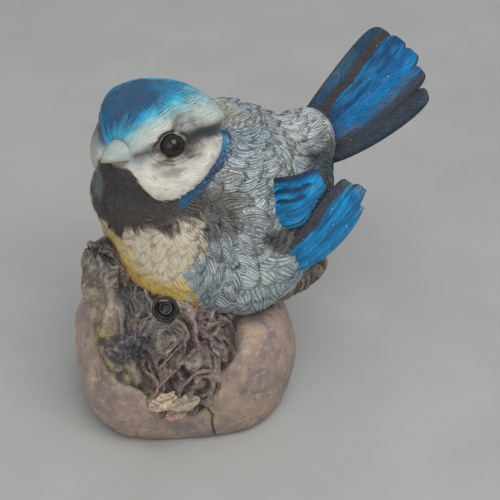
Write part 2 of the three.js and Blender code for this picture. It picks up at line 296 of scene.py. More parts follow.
def face_normals(verts, faces):
    """Normals as long as the faces are large, from a triangle's two sides or a quad's diagonals."""
    first = faces.shape[1] - 3
    return np.cross(verts[faces[:, -2]] - verts[faces[:, 0]], verts[faces[:, -1]] - verts[faces[:, first]])


def normals_of(verts, faces):
    face = face_normals(verts, faces)
    out = np.zeros_like(verts)
    for k in range(3):
        out[:, k] = np.bincount(faces.ravel(), np.repeat(face[:, k], faces.shape[1]), len(verts))
    return unit(out)


def smoothed(values, faces, steps, share=0.5):
    """Values at the vertices, each moved some steps toward the mean of its neighbours."""
    a = faces.ravel()
    b = np.roll(faces, -1, axis=1).ravel()
    count = np.bincount(a, minlength=len(values)) + np.bincount(b, minlength=len(values))
    flat = values.ndim == 1
    out = values.reshape(len(values), -1).copy()
    for _ in range(steps):
        for k in range(out.shape[1]):
            total = np.bincount(a, out[b, k], len(out)) + np.bincount(b, out[a, k], len(out))
            out[:, k] += share * (total / count - out[:, k])
    return out[:, 0] if flat else out


def node_copies(nodes, puff, blobs=()):
    """Copies of CAD nodes in one mesh, each swollen by puff so that they run together."""
    verts, faces = [], []
    start = 0
    for node in nodes:
        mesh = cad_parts[node].data
        co = np.array([v.co for v in mesh.vertices]) / MM
        mesh.calc_loop_triangles()
        tris = np.array([t.vertices for t in mesh.loop_triangles])
        unique, inverse = np.unique(np.round(co, 3), axis=0, return_inverse=True)
        tris = inverse.ravel()[tris]
        tris = tris[(tris != np.roll(tris, 1, axis=1)).all(axis=1)]
        verts.append(unique + normals_of(unique, tris) * puff)
        faces += (tris + start).tolist()
        start += len(unique)
    for centre, radii in blobs:
        ball, quads = close_ends(*sphere_grid(*BALL_GRID), BALL_GRID[0])
        verts.append(ball * radii + centre)
        faces += [[k + start for k in face] for face in quads]
        start += len(ball)
    return write_mesh("copies", np.concatenate(verts), faces)


def merged_body(nodes, voxel, puff, rounds, levels, blobs=(), bend=None):
    """One smooth quad skin round several CAD nodes."""
    copies = node_copies(nodes, puff, blobs)
    verts, faces = modified(copies, "REMESH", mode="VOXEL", voxel_size=voxel * MM, adaptivity=0.0)
    if bend:
        verts = bend(verts)
    verts = smoothed(verts, faces, rounds)
    if levels == 0:
        return verts, faces
    rough = write_mesh("rough", verts, faces)
    return modified(rough, "SUBSURF", levels=levels, render_levels=levels)


def bake_map(mesh, verts, faces):
    """A UV map of six flat charts, by the side that each face of the plain form looks to."""
    normal = face_normals(verts, faces)
    axis = np.abs(normal).argmax(axis=1)
    side = axis * 2 + (normal[np.arange(len(axis)), axis] > 0)
    span = max(np.ptp(verts, axis=0)) * (1 + CHART_RIM)
    low = verts.min(axis=0)
    uv = np.zeros((len(faces), 4, 2))
    for k in range(6):
        chosen = side == k
        u, v = [a for a in range(3) if a != k // 2]
        corner = verts[faces[chosen]]
        place = np.stack([corner[:, :, u] - low[u], corner[:, :, v] - low[v]], 2) / span
        uv[chosen] = (place * (1 - 2 * CHART_RIM) + CHART_RIM + [k % 3, k // 3]) / 3
    layer = mesh.uv_layers.new(name="OFBake")
    layer.data.foreach_set("uv", uv.ravel())


def attributes(obj, **layers):
    """Stores numbers or colours at the vertices; a lone number goes to all of them."""
    count = len(obj.data.vertices)
    for name, values in layers.items():
        values = np.full(count, values) if np.isscalar(values) else values
        if values.ndim == 1:
            data = obj.data.attributes.new(name, "FLOAT", "POINT")
            data.data.foreach_set("value", values.astype(np.float32))
        else:
            data = obj.data.color_attributes.new(name, "FLOAT_COLOR", "POINT")
            rgba = np.concatenate([values, np.ones((count, 1))], 1)
            data.data.foreach_set("color", rgba.astype(np.float32).ravel())


def carry(obj, material, nodes=()):
    """Gives a piece its material and slot, and lets it stand for its CAD nodes."""
    obj.data.materials.clear()
    obj.data.materials.append(material)
    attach(obj, "root")
    if nodes:
        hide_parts(*nodes)


# Materials


class Shader:
    """A material's node tree, with short calls for the nodes that the paints use."""

    def __init__(self, name, roughness=0.5, coat=0.0, gloss=0.5):
        self.material = bpy.data.materials.new(name)
        self.material.use_nodes = True
        self.nodes = self.material.node_tree.nodes
        self.links = self.material.node_tree.links
        self.shader = self.nodes["Principled BSDF"]
        self.shader.inputs["Roughness"].default_value = roughness
        self.shader.inputs["Coat Weight"].default_value = coat
        self.shader.inputs["Specular IOR Level"].default_value = gloss
        self.place = self.node("TexCoord", "Object", {})

    def put(self, socket, value):
        if hasattr(value, "links"):
            self.links.new(value, socket)
        else:
            socket.default_value = value

    def node(self, kind, output, inputs, **settings):
        node = self.nodes.new("ShaderNode" + kind)
        for key, value in settings.items():
            setattr(node, key, value)
        for key, value in inputs.items():
            self.put(node.inputs[key], value)
        return node.outputs[output]

    def attribute(self, name, output="Fac"):
        return self.node("Attribute", output, {}, attribute_name=name)

    def noise(self, size_mm, detail=3.0, rough=0.6, distortion=0.0, place=None):
        inputs = {"Vector": place or self.place, "Scale": 1 / (size_mm * MM), "Detail": detail}
        return self.node("TexNoise", "Fac", {**inputs, "Roughness": rough, "Distortion": distortion})

    def cells(self, size_mm):
        return self.node("TexVoronoi", "Distance", {"Vector": self.place, "Scale": 1 / (size_mm * MM)})

    def math(self, operation, *values):
        return self.node("Math", 0, dict(enumerate(values)), operation=operation)

    def times(self, a, b):
        return self.math("MULTIPLY", a, b)

    def plus(self, a, b):
        return self.math("ADD", a, b)

    def larger(self, a, b):
        return self.math("MAXIMUM", a, b)

    def span(self, value, low, high, to_low=0.0, to_high=1.0):
        inputs = {"Value": value, "From Min": low, "From Max": high, "To Min": to_low, "To Max": to_high}
        return self.node("MapRange", "Result", inputs, interpolation_type="SMOOTHSTEP")

    def mix(self, share, a, b, kind="MIX"):
        a, b = (c if hasattr(c, "links") else (*c, 1.0) for c in (a, b))
        return self.node("Mix", 2, {0: share, 6: a, 7: b}, data_type="RGBA", blend_type=kind)

    def specks(self, size_mm, width, patch_mm, share):
        """Small round dots of spilled paint, in patches."""
        patches = self.span(self.noise(patch_mm, 1.0), 0.5, 0.6, 0.0, share)
        return self.times(self.span(self.cells(size_mm), width, 0.05), patches)

    def colour(self, value):
        self.put(self.shader.inputs["Base Color"], value)

    def rough(self, size_mm, detail, least, most, low=0.3, high=0.7):
        value = self.span(self.noise(size_mm, detail), low, high, least, most)
        self.put(self.shader.inputs["Roughness"], value)

    def relief(self, height, distance_mm, strength=1.0):
        inputs = {"Height": height, "Distance": distance_mm * MM, "Strength": strength}
        self.put(self.shader.inputs["Normal"], self.node("Bump", "Normal", inputs))


def painted_plumage(
    name, groove_depth=0.22, rough=0.5, wash=(0.055, 0.05, 0.047), dust=0.6, gloss=0.4
):
    """Paint over carved plumage: a dark wash in the grooves, painted shade with some dark paint in the
    gaps, dry-brushed ridges, and specks.
    """
    s = Shader(name, rough, 0.0, gloss)
    paint = s.attribute("Paint", "Color")
    strand = s.noise(COMB_UNIT, 2.0, 0.6, 0.0, s.attribute("Comb", "Vector"))
    uneven = s.times(s.math("SUBTRACT", strand, 0.5), 3.4)
    groove = s.times(s.math("COSINE", s.attribute("Groove")), 0.45)
    ridge = s.span(s.plus(groove, uneven), -0.9, 0.7)
    worn = s.noise(1.1, 3.0)
    in_groove = s.times(s.math("SUBTRACT", 1.0, ridge), s.attribute("Wash"))
    in_groove = s.times(in_groove, s.span(worn, 0.3, 0.6, 0.55, 1.0))
    # The Gap attribute joins the dark wash in the grooves; it is mostly painted shade in the gaps between
    # parts.
    deep = s.larger(s.attribute("Gap"), in_groove)
    mottle = s.span(s.noise(3.5), 0.3, 0.7, 0.0, 0.16)
    mottled = s.mix(mottle, paint, (0.35, 0.34, 0.32), "MULTIPLY")
    washed_and_shaded = s.mix(deep, mottled, wash)
    lifted = s.times(s.times(ridge, s.attribute("Brush")), s.span(worn, 0.45, 0.62))
    brushed = s.mix(lifted, washed_and_shaded, (0.70, 0.71, 0.69))
    s.colour(s.mix(s.specks(2.9, 0.07, 9.0, dust), brushed, (0.72, 0.74, 0.74)))
    s.rough(2.0, 4.0, rough - 0.1, rough + 0.14, 0.25, 0.75)
    height = s.plus(s.times(ridge, s.attribute("Wash")), s.times(s.noise(0.7, 4.0), 0.5))
    s.relief(height, groove_depth, 0.85)
    return s.material


def eye_material():
    s = Shader("eye_gloss", 0.15, 0.12, 0.35)
    paint = s.attribute("Paint", "Color")
    s.colour(s.mix(s.span(s.noise(0.8, 4.0), 0.35, 0.7, 0.0, 0.5), paint, (0.006, 0.005, 0.005)))
    s.rough(1.5, 3.0, 0.13, 0.24)
    return s.material


def bark_material():
    s = Shader("painted_bark", 0.5)
    paint = s.attribute("Paint", "Color")
    high = s.attribute("Ridge")
    fine = s.noise(0.9, 5.0, 0.7, 0.6)
    curl = s.math("ABSOLUTE", s.math("SUBTRACT", s.noise(2.2, 2.0, 0.5, 2.2), 0.5))
    thread = s.span(curl, 0.05, 0.012)
    dark = s.mix(s.span(fine, 0.3, 0.55, 0.62, 0.0), paint, (0.03, 0.025, 0.024))
    brush = s.times(s.span(high, 0.5, 0.95), s.span(fine, 0.45, 0.62, 0.0, 0.85))
    brush = s.larger(brush, s.times(thread, s.span(fine, 0.4, 0.58, 0.0, 0.6)))
    dry = s.mix(brush, dark, (0.36, 0.325, 0.285))
    s.colour(s.mix(s.specks(2.4, 0.08, 7.0, 0.3), dry, (0.6, 0.58, 0.55)))
    s.rough(1.4, 4.0, 0.34, 0.62)
    s.relief(s.plus(fine, s.times(thread, 0.5)), 0.45, 0.95)
    return s.material


def stone_material():
    s = Shader("painted_stone", 0.45)
    paint = s.attribute("Paint", "Color")
    blotch = s.mix(s.span(s.noise(7.0, 5.0, 0.65, 0.8), 0.42, 0.66), paint, (0.42, 0.29, 0.215))
    shade = s.span(s.noise(9.0, 5.0, 0.68, 0.9), 0.42, 0.7, 0.0, 0.7)
    violet = s.mix(shade, blotch, (0.175, 0.14, 0.15))
    veins = s.span(s.noise(4.0, 6.0, 0.75, 1.6), 0.54, 0.66, 0.0, 0.6)
    pale = s.mix(veins, violet, (0.56, 0.47, 0.38))
    pits = s.times(s.span(s.noise(1.0, 3.0, 0.6), 0.36, 0.3), 0.6)
    # Darker in the pits, and with painted shade in the crack
    dark = s.mix(s.larger(pits, s.attribute("Gap")), pale, (0.05, 0.038, 0.032))
    s.colour(dark)
    s.rough(3.0, 4.0, 0.34, 0.58)
    s.relief(s.plus(s.noise(1.6, 5.0, 0.6), s.times(pits, -0.6)), 0.35, 0.6)
    return s.material


def plastic_material(name, roughness):
    s = Shader(name, roughness)
    worn = s.span(s.noise(1.2, 4.0), 0.45, 0.75, 0.0, 0.35)
    s.colour(s.mix(worn, (0.01, 0.01, 0.011), (0.04, 0.039, 0.037)))
    s.rough(0.8, 3.0, roughness - 0.08, roughness + 0.1)
    s.relief(s.noise(0.5, 3.0), 0.03, 0.5)
    return s.material


# Bird: the skin and its carved plumage

FLESH = ["head", "neck", "trunk", "rump", "wing_left_shoulder", "wing_right_shoulder"]
# The skin's pieces with the nodes that each stands for, and where one ends and the next begins
SKIN_PARTS = [
    ("coat_head", ["head"]),
    ("coat_breast", ["neck", "trunk"]),
    ("coat_back", ["wing_left_shoulder", "wing_right_shoulder"]),
    ("coat_rump", ["rump"]),
]
HEAD_REACH = 26.5
NECK_HEIGHT = 88.0
BREAST_FROM = 6.0
BACK_FROM = -12.0
# Millimetres between the fine grooves on the head
STRAND_PITCH = 1.05
# Carved locks: how their seeds keep apart, and the range of their length and width, all as shares
TUFT_APART = 0.3
TUFT_LENGTHS = (0.85, 1.35)
TUFT_WIDTHS = (0.2, 0.31)
# Spread of each lock's turn and bend about the lie of the feathers round it
TUFT_TURN = 0.2
TUFT_BEND = 0.3

# Lines on the head as (azimuth, elevation) pairs in degrees about the head's centre, 0 at the bill
BROW_TOP = (
    [0, 8, 14, 20, 28, 35, 50, 70, 92, 116, 150, 180],
    [13, 17, 27, 34, 40, 44, 52, 57, 59, 54, 44, 40],
)
BROW_TOP_RIGHT = (
    [0, 10, 20, 30, 40, 50, 70, 92, 116, 150, 180],
    [13, 9, 8, 16, 32, 43, 54, 58, 54, 44, 40],
)
EYE_LINE = ([0, 15, 34, 47, 61, 78, 100, 115, 150, 180], [6, 11, 20, 25, 29, 34, 33, 31, 27, 25])
CHEEK_FOOT = (
    [0, 12, 18, 25, 39, 59, 74, 89, 106, 120, 180],
    [-4, 0, -1, -12, -26, -21, -5, 9, 24, 36, 60],
)
BIB_FOOT = ([0, 15, 46, 61, 77, 90, 180], [-58, -53, -45, -37, -25, -10, 40])

EYE_AT = np.array([12.2, 13.9, 8.6])
EYE_RADIUS = 3.9
# Half length and half height of the opening between the lids, and its slope down to the bill
LID_LENGTH = 3.8
LID_HEIGHT = 3.05
LID_SLOPE = math.radians(14)


def drawn(table):
    """The line through a table's points at whole degrees, with its corners rounded off."""
    dense = np.interp(np.arange(-30, 211), *table)
    kernel = np.exp(-((np.arange(-12, 13) / 5.0) ** 2))
    return np.arange(-18, 199), np.convolve(dense, kernel / kernel.sum(), "valid")


class Landmarks:
    """Where each point lies on the bird: body coordinates, and angles round the head."""

    def __init__(self, world):
        self.bird = bird_from_world(world)
        self.head = head_from_bird(self.bird)
        x, y, z = self.head.T
        self.side = np.sign(y) + (y == 0)
        self.azimuth = np.degrees(np.arctan2(np.abs(y), x))
        self.rise = np.degrees(np.arctan2(z, np.hypot(x, y)))
        self.reach = np.linalg.norm(self.head, axis=1)
        self.over_eye = self.over(EYE_LINE)
        self.over_cheek = self.over(CHEEK_FOOT)
        self.over_bib = self.over(BIB_FOOT)
        self.over_brow = np.where(self.side > 0, self.over(BROW_TOP), self.over(BROW_TOP_RIGHT))

    def over(self, table):
        """Degrees above a line that is drawn on the head."""
        return self.rise - np.interp(self.azimuth, *drawn(table))


def eye_plane(marks):
    """Millimetres toward the bill and up from the eye's centre, and outside the lids' opening."""
    out = unit(EYE_AT)
    forward = unit(np.array([out[1], -out[0], 0.0]))
    upward = np.cross(out, forward)
    upward *= np.sign(upward[2])
    rel = marks.head.copy()
    rel[:, 1] *= marks.side
    rel -= EYE_AT
    near = (rel @ out) > -6
    a, b = rel @ forward, rel @ upward
    c, s = math.cos(LID_SLOPE), math.sin(LID_SLOPE)
    a, b = a * c - b * s, b * c + a * s
    offset = (LID_LENGTH**2 - LID_HEIGHT**2) / (2 * LID_HEIGHT)
    arc = LID_HEIGHT + offset
    beyond = np.hypot(a, np.abs(b) + offset) - arc
    return a, b, beyond, near


def head_strands(marks):
    """Fine grooves that run back over the head: their phase, streaks, and place across them."""
    x, y, z = marks.head.T
    roll = np.arctan2(np.abs(y), z)
    warp = 2.2 * noise(marks.head, 8, 81) + 1.4 * noise(marks.head, 3.2, 83)
    across = roll * 22.4 + warp
    streak = noise(np.stack([across, x * 0.4, marks.side * 9], 1), 0.9, 85)
    comb = np.stack([across / 0.6, x * 0.36, marks.side * 9], 1)
    return across * 2 * math.pi / STRAND_PITCH, streak, comb


def lie_of_feathers(marks):
    """The way the carved plumage runs, in the bird's frame."""
    x, y, z = marks.bird.T
    front = ramp(x, 12, 30) * ramp(z, 100, 92)
    flow = np.stack([-np.ones(len(x)), np.zeros(len(x)), np.full(len(x), -0.25)], 1)
    down = np.stack([np.full(len(x), -0.35), np.sign(y) * 0.25, -np.ones(len(x))], 1)
    flow = flow * (1 - front[:, None]) + down * front[:, None]
    rise = ramp(x, -14, -34)
    flow[:, 2] += rise * 0.9
    return flow


def carve_tufts(verts, normal, marks):
    """Overlapping curved locks: height, groove phase, gap shade, tint, and place on each lock."""
    tree = kdtree.KDTree(len(verts))
    for i, point in enumerate(verts):
        tree.insert(point, i)
    tree.balance()
    count = len(verts)
    height, phase, tint = np.zeros((3, count))
    comb = np.zeros((count, 3))
    gap = np.full(count, 0.5)
    flow = lie_of_feathers(marks)
    swirl = noise(marks.bird, 16, 31) * 1.25
    curl = noise(marks.bird, 11, 33)
    free = np.ones(count, bool)
    size = tuft_size(marks)
    broad = 1 + 0.4 * covert_zone(marks)
    strand_count = 3.6 + 1.8 * ramp(size, 7, 10)
    seeds = []
    for i in RNG.permutation(count)[: count // 3]:
        if not free[i]:
            continue
        seeds.append(i)
        for _, j, _ in tree.find_range(Vector(verts[i]), size[i] * TUFT_APART):
            free[j] = False
    for i in seeds:
        length = size[i] * RNG.uniform(*TUFT_LENGTHS)
        width = length * RNG.uniform(*TUFT_WIDTHS) * broad[i]
        turn = swirl[i] + RNG.normal(0, TUFT_TURN)
        n = normal[i]
        along = rotated(flow[i : i + 1], BIRD_HEADING)[0]
        along = unit(along - n * (along @ n))
        across = np.cross(n, along)
        along, across = (
            along * math.cos(turn) + across * math.sin(turn),
            across * math.cos(turn) - along * math.sin(turn),
        )
        bend = (2.6 * curl[i] + RNG.normal(0, TUFT_BEND)) / length
        lift = RNG.uniform(0.7, 1.3)
        shade = RNG.uniform(-1, 1)
        near = np.array([j for _, j, _ in tree.find_range(Vector(verts[i]), length * 0.66)])
        rel = verts[near] - verts[i]
        u = rel @ along + length * 0.5
        v = rel @ across - bend * (u - length * 0.35) ** 2
        t = u / length
        half = width * np.sqrt(np.clip(4 * t * (1 - t), 1e-6, 1)) * (1.0 - 0.15 * t)
        share = v / np.maximum(half, 1e-6)
        strand = np.cos(share * math.pi * strand_count[i] + shade)
        inside = (t > 0) & (t < 0.9 - 0.1 * share**2 + 0.1 * strand) & (np.abs(share) < 1)
        if not inside.any():
            continue
        near, t, share = near[inside], t[inside], share[inside]
        dome = np.sqrt(1 - share**2)
        rise = lift * size[i] * (0.01 + 0.12 * t) * (0.5 + 0.5 * dome)
        top = rise > height[near]
        near, t, share, dome = near[top], t[top], share[top], dome[top]
        height[near] = rise[top]
        phase[near] = share * math.pi * strand_count[i] + shade
        comb[near, 0] = share * strand_count[i] * 0.9 + shade * 60
        comb[near, 1] = t * 1.6
        comb[near, 2] = shade * 30
        tint[near] = shade
        # Painted shade at the sides of each lock, away from its root
        gap[near] = np.clip(0.7 - 1.3 * dome, 0, 1) * ramp(t, 0.0, 0.3)
    return height, phase, gap, tint, comb


def tuft_size(marks):
    """Length of the carved locks in millimetres: short on the head, long on the flank."""
    x, _, z = marks.bird.T
    on_head = ramp(marks.reach, HEAD_REACH, 24.5)
    size = 9.5 + 4.0 * covert_zone(marks)
    front = ramp(x, 16, 26) * ramp(z, 100, 92)
    size = size * (1 - front) + 8.0 * front
    return size * (1 - on_head) + 4.5 * on_head


def covert_zone(marks):
    """The smooth lobes low on the side, under the wing."""
    x, y, z = marks.bird.T
    return ramp(x, 12, 7) * ramp(z, 74, 68) * ramp(np.abs(y), 8, 16)


def eye_surround(marks):
    """Socket, lids and the folds under the eye."""
    a, b, beyond, near = eye_plane(marks)
    below = ramp(b, 0.8, -1.5)
    height = 0.95 * bump(beyond, 0.4, 0.5)
    height -= 1.5 * ramp(beyond, 0.1, -0.5)
    fold = beyond - 0.16 * np.abs(a) * ramp(b, 2, -1)
    height -= 0.34 * bump(fold, 1.35, 0.4)
    height += 0.28 * bump(fold, 2.2, 0.6) * below
    height -= 0.26 * bump(fold, 3.1, 0.5) * below
    return np.where(near, height, 0)


def sculpt_head(marks):
    """The larger forms of the face: brow, cheek, forehead and the groove behind the eye."""
    on_head = ramp(marks.reach, 30, 25)
    over_eye, az = marks.over_eye, marks.azimuth
    shelf = ramp(over_eye, 2.5, 8) * ramp(over_eye, 42, 14)
    height = 1.5 * shelf * ramp(az, 10, 34) * ramp(az, 150, 118)
    height -= 1.1 * bump(over_eye, -2, 4.5) * ramp(az, 58, 72) * ramp(az, 140, 118)
    height += 0.9 * bump(marks.over_cheek, 12, 12) * ramp(az, 15, 32) * ramp(az, 118, 95)
    height -= 0.5 * bump(marks.over_cheek, -2, 4) * ramp(az, 15, 32)
    height += 1.7 * bump(marks.side * az, -40, 24) * bump(marks.rise, 40, 22)
    return height * on_head


def paint_bird(marks, tint, streak):
    """Markings of the whole skin, from the belly to the cap."""
    x, y, z = marks.bird.T
    left = np.abs(y)
    wobble = noise(marks.bird, 5.0, 3)
    fine = noise(marks.bird, 1.8, 5)
    paint, lay = layered(GREY_BLUE, len(x))
    lay(PALE_GREY, 0.8 * ramp(tint + 0.8 * noise(marks.bird, 9, 9), 0.0, 0.7))
    khaki = 0.2 + 0.35 * ramp(z, 84, 98)
    lay(KHAKI, khaki * ramp(tint + wobble, 0.1, -0.7) * ramp(z, 72, 82))
    coverts = covert_zone(marks)
    lay(COVERT, 0.8 * coverts)
    lay(COVERT_PALE, 0.7 * coverts * ramp(tint, 0.0, 0.6))
    dark = np.sqrt((x - 15) ** 2 / 70 + (z - 90 + (x - 15) * 0.2) ** 2 / 60) + 0.35 * wobble
    lay(DARK_BROWN, 0.8 * ramp(dark, 1.25, 0.5) * ramp(left, 16, 22))
    rump_dark = np.sqrt(((x + 31) / 6) ** 2 + ((z - 91) / 6) ** 2)
    lay(DARK_BROWN, 0.9 * ramp(rump_dark, 1.3, 0.5) * ramp(left, 6, 11))
    rump_pale = ramp(x, -14, -22) * ramp(z, 90, 97)
    lay(RUMP_PALE, 0.75 * rump_pale * ramp(wobble, -0.6, 0.3))
    band_x, band_z = x + 5, z - 77
    band = np.hypot(band_x * 0.8 + band_z * 0.6, 2.2 * (band_z * 0.8 - band_x * 0.6)) / 11
    lay(FEATHER_BROWN, 0.85 * ramp(band + 0.2 * wobble, 1.1, 0.7) * ramp(left, 22, 26))
    under_tail = ramp(x + 2 * wobble, -16, -22) * np.maximum(ramp(left, 8, 14), ramp(z, 90, 84))
    lay(FEATHER_DULL, 0.85 * under_tail)
    lay(FEATHER_BROWN, 0.7 * under_tail * ramp(wobble + fine, 0.0, 0.6))
    # Breast and belly, with a ragged edge against the flank
    edge = 20.8 + (84 - z) * 0.55
    edge = np.where(z < 71, 27.9 - (71 - z) * 0.28, edge)
    edge = np.where(z > 84, 20.8, edge)
    chest = ramp(x - edge + 2.6 * wobble + 1.0 * fine + 1.8 * tint, -1.0, 1.0)
    under = ramp(z, 58, 50) * ramp(left, 20, 12)
    front = np.maximum(chest, under)
    beside = ramp(x - edge + 2.6 * wobble, -9, -2) * ramp(z, 84, 76)
    lay(FLANK_DARK, 0.3 * beside * (1 - front))
    lay(CREAM, front)
    lay(KHAKI, 0.3 * front * ramp(fine + wobble, 0.1, 0.8) * ramp(z, 66, 74))
    yellow = 0.9 * ramp(x - 0.25 * (z - 70) + 2 * wobble, 38, 45) * ramp(z, 86, 78)
    yellow = yellow + ramp(z + 3 * wobble, 74, 62)
    streaks = 0.22 * ramp(fine + 0.4 * wobble, 0.0, 0.7) * ramp(z, 84, 76)
    lay(YELLOW, front * np.clip(0.9 * yellow + streaks, 0, 0.95))
    paint *= (1 + 0.09 * tint * (1 - front))[:, None]
    # Head
    az, rise = marks.azimuth, marks.rise
    over_brow, over_eye, over_cheek = marks.over_brow, marks.over_eye, marks.over_cheek
    nape = ramp(marks.reach, 40, 32) * ramp(az, 96, 112) * ramp(rise, -5, 10)
    lay(NAPE, 0.4 * nape * ramp(tint + 1.5 * wobble, 0.0, 0.9))
    bib = ramp(over_cheek + 2 * streak, 1.0, -1.5)
    bib = bib * ramp(marks.over_bib + 3 * wobble + 3 * streak, -3.0, 3.0)
    bib = bib * ramp(az + 3 * wobble, 84, 76) * ramp(marks.reach, 37, 33)
    lay(BIB, 0.97 * bib)
    lay(BIB_BROWN, 0.5 * bib * ramp(marks.over_bib, 14, 2))
    width = np.interp(az, [70, 115], [9, 12])
    collar = ramp(over_cheek + 2.5 * streak, 1.0, -1.0)
    collar = collar * ramp(over_cheek + width + 3 * wobble + 2.5 * tint, -1, 2)
    collar = collar * ramp(az, 56, 64) * ramp(marks.reach, 34, 31) * ramp(rise, 48, 40)
    lay(COLLAR, collar)
    inky = ramp(az, 104, 84) + 0.5 * ramp(streak, 0.1, 0.5)
    lay(COLLAR_DARK, collar * np.clip(inky, 0, 0.85))
    face = ramp(marks.reach, 27.5, 25.5)
    cheek = ramp(over_cheek + 2.5 * streak, -0.5, 2.5) * ramp(over_eye, 2, -2)
    lay(CHEEK, cheek * face)
    warm = 0.45 * ramp(streak + wobble, -0.1, 0.7) * ramp(az, 60, 92) + 0.22 * ramp(streak, 0.1, 0.6)
    lay(CHEEK_WARM, cheek * face * warm)
    hair = ramp(streak + 0.35 * fine, -0.42, -0.72) * ramp(fine, -0.5, 0.1)
    lay(BIB_BROWN, 0.34 * cheek * face * hair)
    band = ramp(over_eye, -4, 0) * ramp(over_brow, 3, -2)
    lay(BROW, band * face)
    lay(BROW_WARM, 0.55 * band * face * ramp(over_eye, 12, 2) * ramp(az, 20, 40))
    crown = ramp(over_brow + 2 * streak + 1.5 * wobble, -7, 2) * face
    lay(CAP_PALE, crown)
    rear = ramp(az, 95, 150) * 10 + ramp(az, 60, 110) * 5
    rear = rear - 14 * ramp(marks.side * az, -4, -18) * ramp(az, 100, 70)
    lay(TURQUOISE, crown * ramp(over_brow - rear + 5 * streak + 3 * wobble, 1, 9))
    lay(CAP_BLUE, crown * ramp(over_brow - rear + 7 * streak + 4 * wobble, 6, 19))
    toward_bill = ramp(0.8 * marks.head[:, 0] - 0.6 * marks.head[:, 1] + 4 * wobble, -4, 8)
    deep = ramp(over_brow - rear + 8 * streak + 5 * wobble, 15, 30) * (0.15 + 0.85 * toward_bill)
    lay(CAP_DEEP, 0.9 * crown * deep)
    lay(CAP_PALE, 0.5 * crown * ramp(streak + 0.6 * wobble, 0.45, 0.9) * (1 - deep))
    under = ramp(over_eye + 2 * streak, -20, -3) * ramp(over_eye, 3, 0)
    lay(MASK, 0.6 * under * ramp(az, 54, 66) * ramp(az, 112, 84) * face)
    stripe = ramp(over_eye + streak, -8, -3) * ramp(over_eye, 6, 3)
    stripe = stripe * ramp(az, 54, 62) * ramp(az, 128, 114)
    lay(STRIPE, (0.95 - 0.2 * ramp(az, 92, 112)) * stripe * face)
    lore = bump(over_eye, -5, 6) * ramp(az, 34, 24) * ramp(az, 4, 12)
    lay(LORE, 0.6 * lore * face)
    fore = bump(over_eye, -1, 3.0) * ramp(az, 12, 20) * ramp(az, 46, 36)
    lay(MASK, 0.85 * fore * face)
    beyond_bill = ramp(marks.side * az, -16, -24) * ramp(az, 70, 50)
    lay(FAR_LORE, 0.55 * beyond_bill * face * (1 - crown))
    eye_a, eye_b, beyond, near = eye_plane(marks)
    under_eye = ramp(eye_b, 2.5, -0.5)
    rear_eye = ramp(eye_a, 1.0, -3.0)
    reach = 1.3 + 5.2 * np.maximum(under_eye, rear_eye) + 0.9 * wobble + 0.5 * streak
    shadow = ramp(beyond / np.maximum(reach, 0.3), 1.6, 0.3) * near
    ragged = 0.62 + 0.38 * ramp(0.6 * streak + fine, -0.5, 0.35)
    lay(MASK, 0.9 * shadow * ragged * face)
    lay(LID, 0.95 * bump(beyond, 0.7, 0.5) * ramp(eye_b, 0.2, 1.6) * near * face)
    # Painted shade: a broken dark line in the crease round the lids, strongest above the eye
    crease_shade = (0.75 * ramp(eye_b, -1.5, 1.0) + 0.3) * ramp(fine + 0.5 * wobble, -0.7, 0.1)
    lay(CREASE_SHADE, crease_shade * bump(beyond, 1.5 + 0.3 * wobble, 0.42) * near * face)
    lay(MASK, 0.6 * bump(beyond, 0.4, 0.5) * ramp(eye_b, 1.0, -1.0) * near * face)
    lay(SOCKET, ramp(beyond, 0.15, -0.1) * near * face)
    return paint


def settle(verts):
    """The flank hangs a little lower over the log, and the rump ends sooner at the tail."""
    bird = bird_from_world(verts)
    x, y, z = bird.T
    aside = np.maximum(ramp(np.abs(y), 4, 18), ramp(x, 12, 24))
    hang = ramp(z, 70, 55) * aside * ramp(x, 50, 38) * ramp(x, -26, -10)
    bird[:, 2] -= 3.4 * hang + 3.0 * bump(x, -21, 9) * ramp(z, 88, 97)
    bird[:, 0] = np.where(x < -30, -30 + (x + 30) * 0.5, x)
    out = rotated(bird, BIRD_HEADING) + BIRD_AT
    out[:, 1] -= 3.4 * ramp(z, 78, 62) * ramp(verts[:, 1], -2, -12)
    return out


